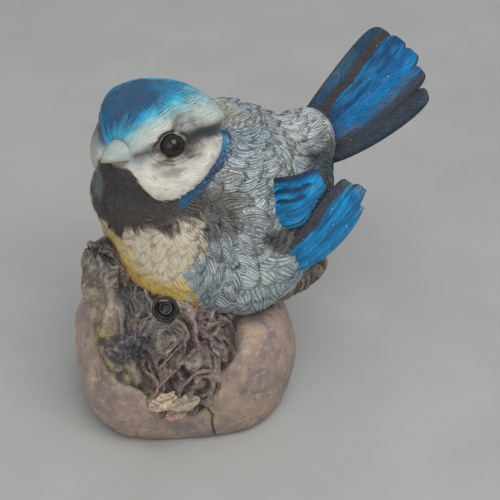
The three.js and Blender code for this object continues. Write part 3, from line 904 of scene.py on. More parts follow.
def build_skin(material):
    verts, faces = merged_body(FLESH, *FLESH_FORM, bend=settle)
    form = verts.copy()
    normal = normals_of(verts, faces)
    marks = Landmarks(verts)
    verts = verts + normal * (sculpt_head(marks) + eye_surround(marks))[:, None]
    normal = normals_of(verts, faces)
    height, phase, gap, tint, comb = carve_tufts(verts, normal, marks)
    strand_phase, streak, head_comb = head_strands(marks)
    # The head has fine strands in place of the body's locks
    az, over_cheek = marks.azimuth, marks.over_cheek
    throat = ramp(marks.over_bib, 0, 5) * ramp(over_cheek, 2, -2)
    throat = throat * ramp(marks.reach, 37, 34) * ramp(az, 84, 74)
    collar_width = np.interp(az, [70, 115], [3, 5])
    tufted = ramp(over_cheek + collar_width, 1.5, -1.5) * ramp(az, 60, 68)
    strands = np.maximum(ramp(marks.reach, 27.0, 25.5) * (1 - tufted), throat)
    _, _, beyond, near_eye = eye_plane(marks)
    calm = np.where(near_eye, ramp(beyond, 2.2, 0.6), 0)
    under_bird = ramp(marks.bird[:, 2], 50, 44)
    coverts = covert_zone(marks)
    ring = np.hypot(marks.head[:, 1], marks.head[:, 2])
    crown = ramp(marks.over_eye, 14, 24)
    broken = 0.35 + 0.65 * ramp(noise(marks.bird, 3.6, 79), -0.5, 0.4)
    fine = (0.026 + 0.085 * crown + 0.11 * throat) * ramp(ring, 4, 11)
    fine = fine * (1 - calm) * strands * broken
    chest = ramp(marks.bird[:, 0], 21, 28) * (1 - strands)
    relief = height * (1 - 0.95 * strands) * (1 - 0.7 * under_bird) * (1 - 0.35 * chest)
    relief = relief + 0.12 * np.cos(phase) * (1 - strands) * (1 - 0.4 * coverts) * broken
    relief = relief + fine * (np.cos(strand_phase) + 0.8 * streak)
    verts = verts + normal * relief[:, None]
    # Painted shadow where a lock lies lower than the locks round it, just past the tip of the lock over it
    low = smoothed(height, faces, 3)
    shadow_past_tips = ramp(low - height, 0.05, 0.3)
    patchy = ramp(noise(marks.bird, 4.5, 77), -0.5, 0.5)
    head_wash = 0.16 + 0.2 * ramp(marks.over_eye, 3, 9) + 0.5 * crown * patchy + 0.4 * throat
    wash = (0.95 - 0.68 * chest - 0.35 * coverts) * (1 - strands) + head_wash * strands
    wash = np.clip(wash * (1 - calm), 0, 1)
    # Painted shade in the gaps between locks and under their tips, weaker on the chest and the lower side
    gap = np.maximum(gap, shadow_past_tips) * (1 - strands) * (1 - 0.85 * chest) * (1 - 0.4 * coverts)
    inky = (0.1 + 0.42 * crown * patchy + 0.4 * throat) * strands * (1 - calm)
    gap = np.maximum(gap, inky * ramp(streak, -0.2, -0.7))
    brush = (0.5 * ramp(marks.bird[:, 0], 24, 14) + 0.08) * (1 - strands)
    brush += 0.04 * throat * strands
    paint = paint_bird(marks, tint * (1 - strands), streak)
    phase = np.where(strands > 0.5, strand_phase, phase)
    comb = np.where((strands > 0.5)[:, None], head_comb, comb)
    brush *= 1 - 0.85 * ramp(paint.mean(axis=1), 0.24, 0.1) * (1 - strands)
    layers = {"Paint": paint, "Groove": phase, "Comb": comb, "Wash": wash, "Gap": gap, "Brush": brush}
    normals = normals_of(verts, faces)
    x, _, z = marks.bird[faces].mean(axis=1).T
    on_head = (marks.reach[faces].mean(axis=1) < HEAD_REACH) & (z > NECK_HEIGHT)
    part = np.where(on_head, 0, np.where(x > BREAST_FROM, 1, np.where(x > BACK_FROM, 2, 3)))
    for k, (name, nodes) in enumerate(SKIN_PARTS):
        used, local = np.unique(faces[part == k], return_inverse=True)
        piece = write_mesh(name, verts[used], local.reshape(-1, 4))
        bake_map(piece.data, form[used], local.reshape(-1, 4))
        attributes(piece, **{label: values[used] for label, values in layers.items()})
        piece.data.normals_split_custom_set_from_vertices(normals[used].tolist())
        carry(piece, material, nodes)


# Eyes and bill


def tube_quads(count, around):
    """The quads between rings of the same number of points."""
    i, j = np.meshgrid(np.arange(count - 1), np.arange(around), indexing="ij")
    k = (j + 1) % around
    quads = np.stack([i * around + j, i * around + k, (i + 1) * around + k, (i + 1) * around + j], -1)
    return quads.reshape(-1, 4)


def sphere_grid(around, along):
    """A unit ball of quads in rings about x, with a small hole at each pole."""
    theta = np.linspace(0, 2 * math.pi, around, endpoint=False)
    polar = np.linspace(POLE_HOLE, math.pi - POLE_HOLE, along)
    t, p = np.meshgrid(theta, polar)
    verts = np.stack([np.cos(p), np.sin(p) * np.cos(t), np.sin(p) * np.sin(t)], -1).reshape(-1, 3)
    return verts, tube_quads(along, around)


def close_ends(verts, faces, around):
    """Triangles from a point at each open end of a tube of rings, as a face list."""
    out = faces.tolist()
    first, last = len(verts), len(verts) + 1
    start = len(verts) - around
    centres = [verts[:around].mean(axis=0), verts[start:].mean(axis=0)]
    for j in range(around):
        k = (j + 1) % around
        out.append([k, j, first])
        out.append([start + j, start + k, last])
    return np.concatenate([verts, centres]), out


def mesh_from_rings(name, rings):
    """A closed body from rings of the same number of points."""
    around = len(rings[0])
    verts, faces = close_ends(np.concatenate(rings), tube_quads(len(rings), around), around)
    return write_mesh(name, verts, faces), verts


EYE_GRID = (64, 40)
BILL_GRID = (56, 40)
BILL_ROOT = 15.0
BILL_TIP = 28.2
BILL_MIDDLE = 2.4
BILL_HALF_WIDTH = 6.7


def build_eye(word, side, material):
    ball, _ = sphere_grid(*EYE_GRID)
    centre = EYE_AT * [1, side, 1] * (1 if side > 0 else 0.95)
    out = unit(centre)
    local = ball * EYE_RADIUS
    # The ball's pole looks outward
    across = unit(np.cross([0, 0, 1.0], out))
    upward = np.cross(out, across)
    head = centre + local[:, :1] * out + local[:, 1:2] * across + local[:, 2:] * upward
    rings = world_from_bird(bird_from_head(head)).reshape(*EYE_GRID[::-1], 3)
    piece, verts = mesh_from_rings("eyeball_" + word, rings)
    angle = np.degrees(np.arccos(np.clip(np.append(ball[:, 0], [1, -1]), -1, 1)))
    paint, lay = layered(PUPIL, len(verts))
    lay(IRIS, 0.6 * ramp(angle, 28, 36) * ramp(angle, 60, 50))
    attributes(piece, Paint=paint)
    carry(piece, material, ["eye_" + word])


def build_bill(material):
    """A short blunt cone in two halves, with a gape line and a soft ridge along its top."""
    around, along = BILL_GRID
    angle = np.linspace(0, 2 * math.pi, around, endpoint=False)
    s = np.linspace(0, 1, along)[:, None]
    taper = np.maximum((1 - s**1.45) ** 0.66, 0.03)
    for word, sign, height, shorter, ridge, drop in (
        ("upper", 1, 5.7, 0, 1.25, -1.1 * s**2.2),
        ("lower", -1, 5.2, 1.2, 0.85, 0.5 * s**2),
    ):
        x = np.repeat(BILL_ROOT + (BILL_TIP - BILL_ROOT - shorter) * s, around, axis=1)
        y = BILL_HALF_WIDTH * taper * np.cos(angle)
        dome = np.abs(np.sin(angle)) ** ridge
        z = np.where(np.sin(angle) * sign > 0, sign * height * taper * dome, sign * 0.12)
        head = np.stack([x, y, BILL_MIDDLE + z + drop], 2).reshape(-1, 3)
        world = world_from_bird(bird_from_head(head)).reshape(along, around, 3)
        piece, verts = mesh_from_rings("bill_half_" + word, world)
        local = head_from_bird(bird_from_world(verts))
        paint, lay = layered(BILL_GREY, len(verts))
        away = np.abs(local[:, 2] - BILL_MIDDLE + 0.6)
        lay(BILL_TAN, 0.75 * ramp(away, 1.3, 0.2) * ramp(local[:, 0], 18, 21))
        # Painted highlight: the top of the bill is paler, as where the light falls on it
        lay(BILL_TOP_HIGHLIGHT, 0.5 * ramp(local[:, 2], 3.5, 6.5))
        lay(BILL_ROOT_GREY, 0.5 * ramp(local[:, 0], 21.5, 19.5))
        groove = local[:, 0] * 2.4 + noise(local, 2, 3) * 2
        # Painted shade along the gape line, where the two halves meet
        gap = 0.5 * ramp(away, 0.5, 0.1)
        attributes(piece, Paint=paint, Groove=groove, Comb=local * 0.6, Wash=0.12, Gap=gap, Brush=0.0)
        carry(piece, material, ["bill_" + word])


# Wing and tail feathers

TAIL_ROOT = np.array([-31.0, 0.0, 89.0])
TAIL_RISE = math.radians(37)
TAIL_LENGTH = 46.0
TAIL_HALF_WIDTH = 7.8
# Wing feathers: root, middle, tip, half width, how far they are lifted, and how far they wrap round
TERTIALS = [
    ([0.8, 18.0, 82.5], [-7.8, 30.8, 89.0], [-18.9, 28.4, 93.0], 11.0, 0.3, 2.4),
    ([0.8, 18.4, 82.5], [-6.8, 31.6, 88.6], [-15.4, 30.2, 93.0], 8.0, 0.65, 1.2),
    ([0.8, 18.6, 82.5], [-5.8, 32.0, 88.2], [-12.0, 31.3, 92.8], 5.2, 1.0, 0.5),
]
PRIMARIES = [
    ([-6, 30.6, 71], [-17, 30.2, 79], [-31.5, 24.2, 87.6], 5.6, 0.3, 0.4),
    ([-7.5, 30.4, 67], [-19.5, 30, 74.5], [-37.3, 23.6, 83.4], 6.2, 0.0, 0.4),
    ([-9, 29.4, 63], [-21, 29.6, 68.8], [-36.6, 24.4, 77], 5.4, -0.3, 0.4),
]
# The way a wing feather's width runs
OUTER_ACROSS = np.array([0.62, 0.12, 0.78])
INNER_ACROSS = np.array([-0.1, 0.1, 1.0])
RIGHT_WING_DROP = 7.0
BARB_SLANT = math.radians(28)
BARB_PITCH = 1.3
VANE_GRID = (46, 96)


def spline(points, s):
    """The smooth curve through three points that spends half its run on each stretch."""
    a, b, c = (np.asarray(p, float) for p in points)
    tangent = (c - a) / 2
    t = np.where(s < 0.5, s * 2, s * 2 - 1)[:, None]
    first = (s < 0.5)[:, None]
    p0, p1 = np.where(first, a, b), np.where(first, b, c)
    m0 = np.where(first, 2 * (b - a) - tangent, tangent)
    m1 = np.where(first, tangent, 2 * (c - b) - tangent)
    h00 = 2 * t**3 - 3 * t**2 + 1
    h10 = t**3 - 2 * t**2 + t
    h01 = -2 * t**3 + 3 * t**2
    h11 = t**3 - t**2
    return h00 * p0 + h10 * m0 + h01 * p1 + h11 * m1


def build_vane(
    name, points, across, outward, half_width, root_share, colours, nodes, material, lift=0.0, wrap=0.0
):
    """A thick carved feather: a shaft, slanting barbs and a rounded tip."""
    columns, rows = VANE_GRID
    s = (1 - np.cos(np.linspace(0.04, math.pi - 0.04, rows))) / 2
    spine = spline(points, s)
    tangent = unit(np.gradient(spine, axis=0))
    side = unit(across - tangent * (tangent @ across)[:, None])
    up = np.cross(tangent, side)
    up *= np.sign(up @ outward)[:, None]
    run = np.append(0, np.cumsum(np.linalg.norm(np.diff(spine, axis=0), axis=1)))
    spread = root_share + (1 - root_share) * np.sin(np.minimum(1, s * 1.25) * math.pi / 2)
    half = half_width * spread * np.sqrt(2 * np.sqrt(s * (1 - s)))
    angle = np.linspace(0, 2 * math.pi, columns * 2, endpoint=False)
    cross = np.sign(np.cos(angle)) * np.abs(np.cos(angle)) ** 0.75
    thick = np.abs(np.sin(angle)) ** 0.6
    top = (np.sin(angle) > 0).astype(float)
    count = len(angle)
    v = half[:, None] * cross
    aside = np.abs(v)
    u = np.repeat(run[:, None], count, 1)
    flat = np.stack([u.ravel(), v.ravel(), np.full(u.size, half_width * 7)], 1)
    warp = (noise(flat, 5.0, 91) * 0.9 + noise(flat, 2.0, 92) * 0.45).reshape(u.shape)
    phase = aside * math.cos(BARB_SLANT) - u * math.sin(BARB_SLANT) + warp
    phase = phase * 2 * math.pi / BARB_PITCH
    barb = (aside * math.sin(BARB_SLANT) + u * math.cos(BARB_SLANT)) * 0.3
    streak = noise(flat * [0.25, 1.0, 1.0], 0.9, 93).reshape(u.shape)
    fold = noise(flat * [0.3, 1.0, 1.0], 2.6, 94).reshape(u.shape)
    edge = 1 - cross**2
    shaft = 0.34 * bump(v, 0, 0.6) - 0.16 * bump(aside, 1.1, 0.4)
    relief = 0.07 * np.cos(phase) + 0.07 * streak + 0.22 * fold
    body = 1.05 * thick * (1 - 0.35 * s[:, None])
    high = body + 0.85 * edge + (shaft + relief) * np.minimum(1, 2 * edge) + lift
    low = -0.9 * body + 0.3 * edge + lift
    h = np.where(top > 0, high, low) - wrap * cross**2
    rings = spine[:, None] + side[:, None] * v[:, :, None] + up[:, None] * h[:, :, None]
    world = world_from_bird(rings.reshape(-1, 3)).reshape(rows, count, 3)
    piece, verts = mesh_from_rings(name, world)
    ends = [0.0, 0.0]
    share = np.append(np.repeat(s, count), [0, 1])
    cross_all = np.append(np.tile(cross, rows), ends)
    upper = np.append(np.tile(top, rows), [1, 1])
    aside_all = np.append(aside.ravel(), ends)
    streaks = np.append(streak.ravel(), ends)
    paint, lay = colours(share, cross_all, verts, streaks)
    lay(FEATHER_BROWN, 0.4 * bump(aside_all, 1.1, 0.4) * upper)
    comb = np.stack([phase.ravel() / 5.0, barb.ravel(), np.sign(v).ravel() * 5], 1)
    comb = np.concatenate([comb, np.zeros((2, 3))])
    # Painted shade along each vane's edge, where the feathers lie over one another, with dark painted
    # streaks
    gap = np.maximum(0.85 * ramp(np.abs(cross_all), 0.8, 0.95), 0.4 * ramp(streaks, -0.35, -0.75))
    wash = 0.3 + 0.2 * ramp(streaks, -0.2, 0.5)
    groove = np.append(phase.ravel(), ends)
    attributes(piece, Paint=paint, Groove=groove, Comb=comb, Wash=wash, Gap=gap, Brush=0.03)
    carry(piece, material, nodes)


def tail_colours(index):
    """The tail's paint, from the dull outer feather to the brown lower ones."""
    def colours(share, cross, verts, streak):
        patch = noise(verts, 6.0, 11 + index)
        base = [FEATHER_DULL, FEATHER_DEEP, FEATHER_BLUE, FEATHER_BLUE, FEATHER_DULL][index]
        paint, lay = layered(base, len(share))
        bright = 0.15 if index in (0, 4) else 0.55
        lay(FEATHER_BRIGHT, bright * ramp(streak + patch, 0.0, 0.8))
        if index == 0:
            lay(FEATHER_GREY, 0.35 * ramp(patch, -0.2, 0.5))
            lay(FEATHER_BROWN, 0.95 * ramp(cross + 0.2 * streak, -0.15, 0.15))
        if index == 3:
            lay(FEATHER_GREY, 0.45 * ramp(patch, -0.5, 0.4))
            lay(FEATHER_BROWN, 0.9 * ramp(cross + 0.2 * streak, 0.25, 0.6))
        if index == 4:
            lay(FEATHER_BROWN, 0.55 + 0.4 * ramp(cross + 0.2 * streak, 0.25, -0.2))
        lay(FEATHER_BROWN, 0.6 * ramp(share, 0.32, 0.12))
        return paint, lay
    return colours


def build_tail(material):
    for index in range(5):
        offset = index - 2
        length = TAIL_LENGTH - 0.85 * offset**2 - 1.5 * offset
        drop = 1.1 * abs(offset)
        x, _, z = TAIL_ROOT
        root = [x, 3.4 * offset, z - drop]
        tip = [
            x - math.cos(TAIL_RISE) * length - math.sin(TAIL_RISE) * drop * 0.4,
            9.6 * offset,
            z + math.sin(TAIL_RISE) * length - drop,
        ]
        middle = (np.array(root) + tip) / 2 - [0.8, 0, 1]
        across = np.array([0.28 * offset, 1.0, -0.1 * offset])
        dorsal = np.array([math.sin(TAIL_RISE), 0, math.cos(TAIL_RISE)])
        build_vane(
            f"tail_vane_{index + 1}", (root, middle, tip), unit(across), dorsal, TAIL_HALF_WIDTH,
            0.72 + 0.11 * abs(offset), tail_colours(index), [f"tail_feather_{index + 1}"],
            material, 1.1 * abs(offset) - 0.6 * offset,
        )


def wing_colours(row, index):
    """The wing's paint: bright blue, with the brown band along the first outer feather."""
    def colours(share, cross, verts, streak):
        patch = noise(verts, 5.0, 41 + index)
        paint, lay = layered(0.6 * FEATHER_BLUE + 0.4 * FEATHER_BRIGHT, len(share))
        lay(FEATHER_BRIGHT, 0.9 * ramp(streak + patch, -0.4, 0.5))
        lay(FEATHER_DULL, 0.3 * ramp(patch, 0.0, -0.6))
        if row == "inner":
            lay(TURQUOISE, 0.5 * ramp(streak + 0.5 * patch, 0.1, 0.7))
            lay(FEATHER_DEEP, 0.7 * ramp(np.abs(cross), 0.72, 0.9))
        if row == "outer" and index == 0:
            lay(FEATHER_BROWN, 0.95 * ramp(cross + 0.25 * streak, 0.2, 0.5))
        if row == "outer":
            lay(FEATHER_GREEN, 0.5 * ramp(share + 0.04 * streak, 0.9, 0.98))
        return paint, lay
    return colours


def build_wings(material):
    rows = [("outer", PRIMARIES, OUTER_ACROSS), ("inner", TERTIALS, INNER_ACROSS)]
    for word, side, drop in (("left", 1, 0.0), ("right", -1, RIGHT_WING_DROP)):
        mirror = np.array([1, side, 1])
        for row, table, across in rows:
            for index, (root, middle, tip, half, lift, wrap) in enumerate(table):
                points = [np.array(p) * mirror - [0, 0, drop] for p in (root, middle, tip)]
                nodes = [f"wing_{word}_{row}_feathers"] if index == 0 else []
                build_vane(
                    f"wing_{word}_{row}_vane_{index + 1}", points, unit(across * mirror),
                    np.array([0.0, side, 0.25]), half, 0.75, wing_colours(row, index), nodes,
                    material, lift, wrap,
                )


# Log, litter and stone

SENSOR_AT = np.array([-2.9, -27.6, 57.6])
SENSOR_TILT = math.radians(31)
# The broken stub that stands out to the left of the log
STUB = np.array([[-9, -27, 47], [-19.5, -33.5, 43]])
# Bark and litter are pressed back where they pass this plane in front
LOG_FRONT = -37.2
TUBE_AROUND = 20
LEAF_GRID = (56, 50)
LEAF_ACROSS = np.array([0.5, -0.2, -0.8])
# Veins along a leaf, and how far they sweep forward toward its edge
LEAF_VEINS = 40
VEIN_SLANT = 6


def distance_to_line(p, a, b):
    """Distance from the straight line between two points."""
    along = np.clip((p - a) @ (b - a) / ((b - a) @ (b - a)), 0, 1)
    return np.linalg.norm(p - a - along[:, None] * (b - a), axis=1)


# Lumps of bark and litter that spread from the log's foot over the stone: centre and half sizes
LITTER = [
    ([1, -32.2, 25], [12.5, 4.4, 9.5]),
    ([-3, -32.6, 19.5], [8, 3.6, 5]),
    ([9, -31.0, 32], [6.5, 4.6, 11]),
    ([14.5, -28.0, 43], [6, 5, 11]),
    ([-14, -28.5, 33], [8, 4.5, 8]),
    ([-24, -15, 68.5], [5.5, 4.5, 5]),
    ([-25.5, -17.5, 60], [5.5, 5, 9]),
    ([-20, -19.5, 60], [6, 5, 10]),
]


def bark_relief(verts):
    """Gnarled ridges and fine fibres, as a height and as the share of ridge at each point."""
    warp = np.stack([noise(verts, 10, seed) for seed in (1, 2, 3)], 1) * 5.0
    warp += np.stack([noise(verts, 4, seed) for seed in (4, 5, 6)], 1) * 1.2
    grain = (verts + warp) * [1.0, 1.0, 0.3]
    rough = ridged(grain, 4.6, 3, 17)
    fibre = ridged(grain * [1, 1, 0.7], 1.6, 3, 19)
    lumps = noise(verts, 6.5, 23)
    height = 1.1 * (rough - 0.5) + 1.4 * (fibre - 0.5) + 0.4 * lumps
    return height, rough, fibre


def lowered_rim(verts):
    """The log's broken top, kept below the bird's belly."""
    out = verts.copy()
    out[:, 2] -= 3.5 * ramp(verts[:, 2], 56, 66) * ramp(verts[:, 0], -18, -13)
    return out


def build_log(material):
    nodes = ["log_stump", "log_horn", "log_branch", "log_stub"]
    verts, faces = merged_body(nodes, *LOG_FORM, LITTER, lowered_rim)
    normal = normals_of(verts, faces)
    height, rough, fibre = bark_relief(verts)
    away = np.linalg.norm(verts - SENSOR_AT, axis=1)
    height *= ramp(away, 4.4, 6.5) * (1 - 0.6 * ramp(verts[:, 0], 30, 44))
    plank = ramp(verts[:, 0] + 0.3 * (verts[:, 2] - 60), -15, -20) * ramp(verts[:, 2], 72, 64)
    height = height * (1 - 0.6 * plank) + 0.5 * plank * noise(verts * [1, 1, 0.18], 2.2, 39)
    litter = ramp(verts[:, 2], 34, 26) * ramp(verts[:, 1], -24, -28)
    height += 0.7 * litter * (ridged(verts, 3.2, 2, 33) - 0.5)
    verts = verts + normal * height[:, None]
    verts[:, 1] = np.maximum(verts[:, 1], LOG_FRONT + 0.25 * (verts[:, 1] - LOG_FRONT))
    x, y, z = verts.T
    patch = noise(verts, 6, 35)
    paint, lay = layered(BARK_DARK, len(x))
    lay(BARK_BROWN, 0.8 * ramp(patch + (x + 5) / 40, -0.3, 0.5))
    bare = ramp(x + 0.3 * (z - 60) + 3 * patch, -16, -21) * ramp(z, 72, 64)
    lay(BARK_BARE, 0.85 * bare * ramp(rough, 0.1, 0.4))
    grain = noise(verts * [1, 1, 0.16], 1.9, 43)
    lay(BARK_RIDGE, 0.6 * bare * ramp(grain, -0.15, -0.5))
    lay(BARK_DARK, 0.95 * bare * ramp(grain, 0.0, 0.35))
    lay(LICHEN, 0.7 * bare * ramp(z, 52, 46) * ramp(noise(verts, 4, 6), -0.3, 0.3))
    facing = ramp(y, -20, -26)
    lay(BARK_RED, 0.85 * bump(x, 7.5, 4.5) * bump(z, 51, 7) * facing)
    lay(BARK_GREY, 0.75 * bump(x, 11, 4) * bump(z, 40, 8) * facing * ramp(fibre, 0.3, 0.6))
    pink = ramp(z, 44, 38) * ramp(x, -10, -4) * ramp(noise(verts, 3.5, 8), 0.1, 0.5)
    lay(BARK_PINK, 0.55 * pink)
    soil = ramp(z + 4 * patch, 30, 22) * ramp(y, -22, -27)
    lay(SOIL, 0.75 * soil)
    lay(LEAF_TAN, 0.5 * soil * ramp(noise(verts, 2.2, 37), 0.2, 0.5))
    lay(BRANCH_TAN, 0.65 * ramp(x, 14, 24) * ramp(rough + 0.3 * patch, 0.25, 0.65))
    lay(KNOB, 0.9 * ramp(distance_to_line(verts, *STUB), 6.5, 4.8))
    lay(BARK_RIDGE, 0.7 * ramp(0.55 * rough + 0.6 * fibre, 0.55, 0.85) * (1 - 0.5 * bare))
    hollow = ramp(0.6 * rough + 0.6 * fibre, 0.6, 0.2)
    paint *= 1 - 0.82 * (hollow * (1 - 0.55 * bare))[:, None]
    piece = write_mesh("bark", verts, faces)
    attributes(piece, Paint=paint, Ridge=0.5 * rough + 0.55 * fibre)
    carry(piece, material, nodes)


TWIGS = [
    ([[7, -32.5, 45], [1, -34.8, 39], [-6, -36.8, 31.5]], 0.75, "twig_1"),
    ([[5, -32, 50], [-1, -34.4, 44], [-5.5, -36, 39]], 0.65, "twig_2"),
    ([[12, -34.5, 37], [7, -36.4, 37.6], [3.5, -36.8, 33]], 0.7, None),
    ([[-10, -34.5, 37], [-6, -36.4, 33], [-8, -37, 27]], 0.6, None),
]


def build_twigs(material):
    """Thin pink-brown twigs that lie over the litter."""
    for index, (points, radius, node) in enumerate(TWIGS):
        share = np.linspace(0, 1, 40)
        spine = spline(points, share)
        tangent = unit(np.gradient(spine, axis=0))
        side = unit(np.cross(tangent, [0, 1.0, 0]))
        up = np.cross(side, tangent)
        angle = np.linspace(0, 2 * math.pi, TUBE_AROUND, endpoint=False)
        t = share[:, None]
        thick = radius * (1 - 0.35 * t) * (1 - np.abs(2 * t - 1) ** 12 * 0.6)
        lumps = 0.16 * np.sin(angle * 3 + t * 9 + index) + 0.12 * np.sin(t * 23 + index)
        thick = (thick * (1 + lumps))[:, :, None]
        ring = side[:, None] * np.cos(angle)[:, None] + up[:, None] * np.sin(angle)[:, None]
        piece, verts = mesh_from_rings(f"twig_branchlet_{index + 1}", spine[:, None] + ring * thick)
        paint, lay = layered(0.75 * BARK_PINK + 0.25 * BARK_BROWN, len(verts))
        lay(BARK_RED, 0.6 * ramp(noise(verts, 3, index), -0.1, 0.5))
        attributes(piece, Paint=paint, Ridge=0.5)
        carry(piece, material, [node] if node else [])


LEAVES = [
    ([1.5, -35.0, 28.0], [-9.5, -37.2, 22.5], 3.4, "leaf_1"),
    ([8, -35.0, 26.0], [-2.5, -37.4, 23.5], 2.9, "leaf_2"),
    ([4, -35.6, 22], [-4, -36.6, 18.5], 2.8, "leaf_3"),
]


def build_leaves(material):
    """Dead leaves: thin, cupped along the midrib, with a waved edge."""
    for index, (root, tip, half, node) in enumerate(LEAVES):
        root, tip = np.array(root, float), np.array(tip, float)
        along = tip - root
        tangent = unit(along)
        across = unit(LEAF_ACROSS - tangent * (LEAF_ACROSS @ tangent))
        up = np.cross(tangent, across)
        up *= -np.sign(up[1])
        around, rows = LEAF_GRID
        angle = np.linspace(0, 2 * math.pi, around, endpoint=False)
        cross = np.cos(angle)
        s = np.linspace(0.02, 0.98, rows)[:, None]
        width = half * np.sin(math.pi * s) ** 0.7 * (1 + 0.1 * np.sin(s * 17 + index))
        fold = 0.9 * np.abs(cross) * np.sin(math.pi * s)
        vein = 0.1 * np.sin(s * LEAF_VEINS - np.abs(cross) * VEIN_SLANT)
        offset = fold + 2.2 * (s - 0.5) ** 2 + 0.26 * np.sin(angle) + vein + 0.5
        flat = root + along * s[:, :, None] + across * (cross * width)[:, :, None]
        crumple = 1.1 * ridged(flat.reshape(-1, 3), 4.2, 2, 70 + index) - 0.6
        rings = flat + up * (offset + crumple.reshape(rows, around))[:, :, None]
        piece, verts = mesh_from_rings("litter_" + node, rings)
        share = np.append(np.repeat(s, around), [0, 1])
        cross_all = np.append(np.tile(cross, rows), [0, 0])
        paint, lay = layered([LEAF_TAN, LEAF_GREEN, BARK_PINK][index], len(verts))
        lay(LEAF_TAN, 0.6 * ramp(noise(verts, 4, index), -0.1, 0.6))
        lay(BARK_RED, 0.4 * ramp(noise(verts, 2.4, 5 + index), 0.1, 0.6))
        paint *= (1 - 0.45 * bump(cross_all, 0, 0.1))[:, None]
        groove = share * LEAF_VEINS - np.abs(cross_all) * VEIN_SLANT
        gap = 0.7 * ramp(np.abs(cross_all), 0.8, 0.98)
        attributes(piece, Paint=paint, Groove=groove, Comb=verts * 0.5, Wash=0.35, Gap=gap, Brush=0.1)
        carry(piece, material, [node])


def crack_away(verts):
    """Distance in millimetres from the crack that runs down the stone's front."""
    z = verts[:, 2]
    line = np.interp(z, [0, 4, 9, 14, 19, 24], [12.6, 12.2, 11.6, 12.0, 9.6, 9.2])
    return np.abs(verts[:, 0] - line) + 50 * (verts[:, 1] > -15)


def build_stone(material):
    verts, faces = merged_body(["stone"], *STONE_FORM)
    normal = normals_of(verts, faces)
    height = 0.9 * fractal(verts, 17, 3, 5) - 0.5 * ramp(ridged(verts, 11, 2, 51), 0.55, 0.9)
    away, z = crack_away(verts), verts[:, 2]
    crack = ramp(away, 0.75, 0.1) * ramp(z, 26, 21)
    height -= crack + 0.5 * bump(away, 1.6, 0.8) * ramp(z, 26, 21)
    verts = verts + normal * (height * ramp(z, 0.2, 3.0))[:, None]
    verts[:, 2] = np.maximum(verts[:, 2], 0.0)
    x, y, z = verts.T
    paint, lay = layered(STONE_TAUPE, len(verts))
    lay(STONE_VIOLET, 0.6 * ramp(fractal(verts * [1, 1, 1.8], 14, 4, 61), -0.2, 0.9))
    lay(STONE_TAN, 0.5 * ramp(fractal(verts, 9, 3, 67), 0.1, 0.8))
    lay(STONE_SHADE, 0.5 * ramp(x, 22, 12) * ramp(z, 18, 30) * ramp(y, -20, -28))
    # Painted shade: the stone darker towards its foot on the floor
    paint *= (0.72 + 0.28 * ramp(z, 0, 7))[:, None]
    piece = write_mesh("rock", verts, faces)
    # Painted shade inside the crack
    attributes(piece, Paint=paint, Gap=0.9 * crack)
    carry(piece, material, ["stone"])


# Sensor eye

BEZEL = [
    (0.05, -4.9), (4.2, -4.9), (4.2, 0.2), (4.05, 0.6), (3.55, 0.62), (3.3, 0.3), (3.25, -0.5),
    (3.0, -0.6), (2.95, -1.3), (2.7, -1.35), (2.65, -3.1), (0.05, -3.1),
]
LENS = [
    (0.05, -2.9), (2.45, -2.9), (2.45, -1.9), (2.1, -1.75), (1.5, -1.8), (1.2, -2.1),
    (0.7, -2.2), (0.05, -2.15),
]
SENSOR = [
    ("sensor_ring", "black_plastic", 0.36, "sensor_bezel", BEZEL),
    ("sensor_window", "black_lens", 0.18, "sensor_lens", LENS),
]


def turned_ring(name, profile, around=72):
    """A turned body from (radius, height) pairs, on the sensor's axis."""
    angle = np.linspace(0, 2 * math.pi, around, endpoint=False)
    axis = np.array([0, -math.cos(SENSOR_TILT), math.sin(SENSOR_TILT)])
    across = np.array([1.0, 0, 0])
    upward = np.cross(axis, across)
    ring = np.cos(angle)[:, None] * across + np.sin(angle)[:, None] * upward
    rings = [SENSOR_AT + ring * radius + axis * height for radius, height in profile]
    return mesh_from_rings(name, rings)[0]


def rounded(profile, steps=5):
    """The profile with each corner turned into a short arc."""
    out = [profile[0]]
    for before, corner, after in zip(profile, profile[1:], profile[2:]):
        b, c, a = (np.array(p, float) for p in (before, corner, after))
        cut = min(0.14, np.linalg.norm(b - c) * 0.4, np.linalg.norm(a - c) * 0.4)
        start = c + unit(b - c) * cut
        end = c + unit(a - c) * cut
        for t in np.linspace(0, 1, steps):
            out.append((1 - t) ** 2 * start + 2 * t * (1 - t) * c + t**2 * end)
    out.append(profile[-1])
    return out


def build_sensor():
    for name, slot, roughness, node, profile in SENSOR:
        ring = turned_ring(name, rounded(profile))
        carry(ring, plastic_material(slot, roughness), [node])


# Stage


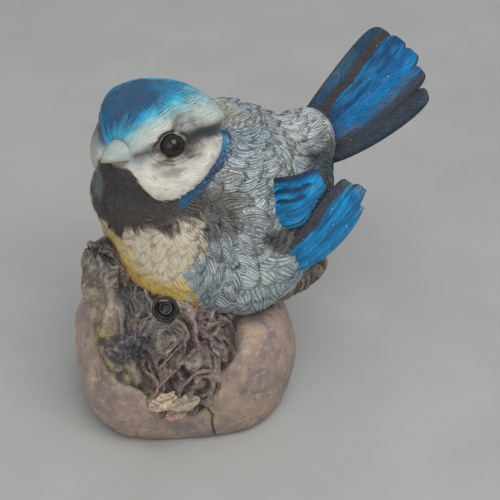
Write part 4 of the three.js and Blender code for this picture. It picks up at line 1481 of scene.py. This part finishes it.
def build_stage():
    corners = np.array([(-1, -1, 0), (1, -1, 0), (1, 1, 0), (-1, 1, 0)]) * FLOOR_REACH
    floor = write_mesh("floor", corners, [(0, 1, 2, 3)])
    s = Shader("floor_paint", 0.6)
    s.colour(s.mix(s.span(s.noise(60.0, 4.0), 0.35, 0.7), FLOOR, FLOOR_PALE))
    floor.data.materials.append(s.material)

    world = bpy.data.worlds.new("studio")
    bpy.context.scene.world = world
    world.use_nodes = True
    sky = world.node_tree.nodes["Background"].inputs
    sky["Color"].default_value = SKY_COLOUR
    sky["Strength"].default_value = SKY_STRENGTH

    for name, place, energy, width in LAMPS:
        light = bpy.data.lights.new(name, "AREA")
        light.energy = energy
        light.size = width
        lamp = bpy.data.objects.new(name, light)
        lamp.location = place
        aim = Vector(LAMP_AIM) - Vector(place)
        lamp.rotation_euler = aim.to_track_quat("-Z", "Y").to_euler()
        bpy.context.scene.collection.objects.link(lamp)


def build_camera():
    camera = bpy.data.cameras.new("camera")
    camera.sensor_width = VIEW_SENSOR
    camera.lens = VIEW_SENSOR * VIEW_FOCAL_PIXELS / VIEW_PIXELS
    camera.clip_start = 0.01
    holder = bpy.data.objects.new("camera", camera)
    rise = math.radians(VIEW_ELEVATION)
    back = Vector((0, -math.cos(rise), math.sin(rise)))
    holder.location = (Vector(VIEW_TARGET) + back * VIEW_DISTANCE) * MM
    holder.rotation_euler = back.to_track_quat("Z", "Y").to_euler()
    bpy.context.scene.collection.objects.link(holder)
    bpy.context.scene.camera = holder


build_camera()
build_stage()
plumage = painted_plumage("painted_plumage")
build_skin(plumage)
gloss = eye_material()
build_eye("left", 1, gloss)
build_eye("right", -1, gloss)
build_bill(painted_plumage("painted_bill", 0.08, 0.42, (0.16, 0.15, 0.14), 0.4))
feathers = painted_plumage("painted_feathers", 0.16, 0.42, (0.012, 0.02, 0.035), 1.0, 0.22)
build_tail(feathers)
build_wings(feathers)
bark = bark_material()
build_log(bark)
build_twigs(bark)
build_leaves(painted_plumage("painted_leaf", 0.12, 0.5, (0.08, 0.055, 0.04), 0.5))
build_stone(stone_material())
build_sensor()
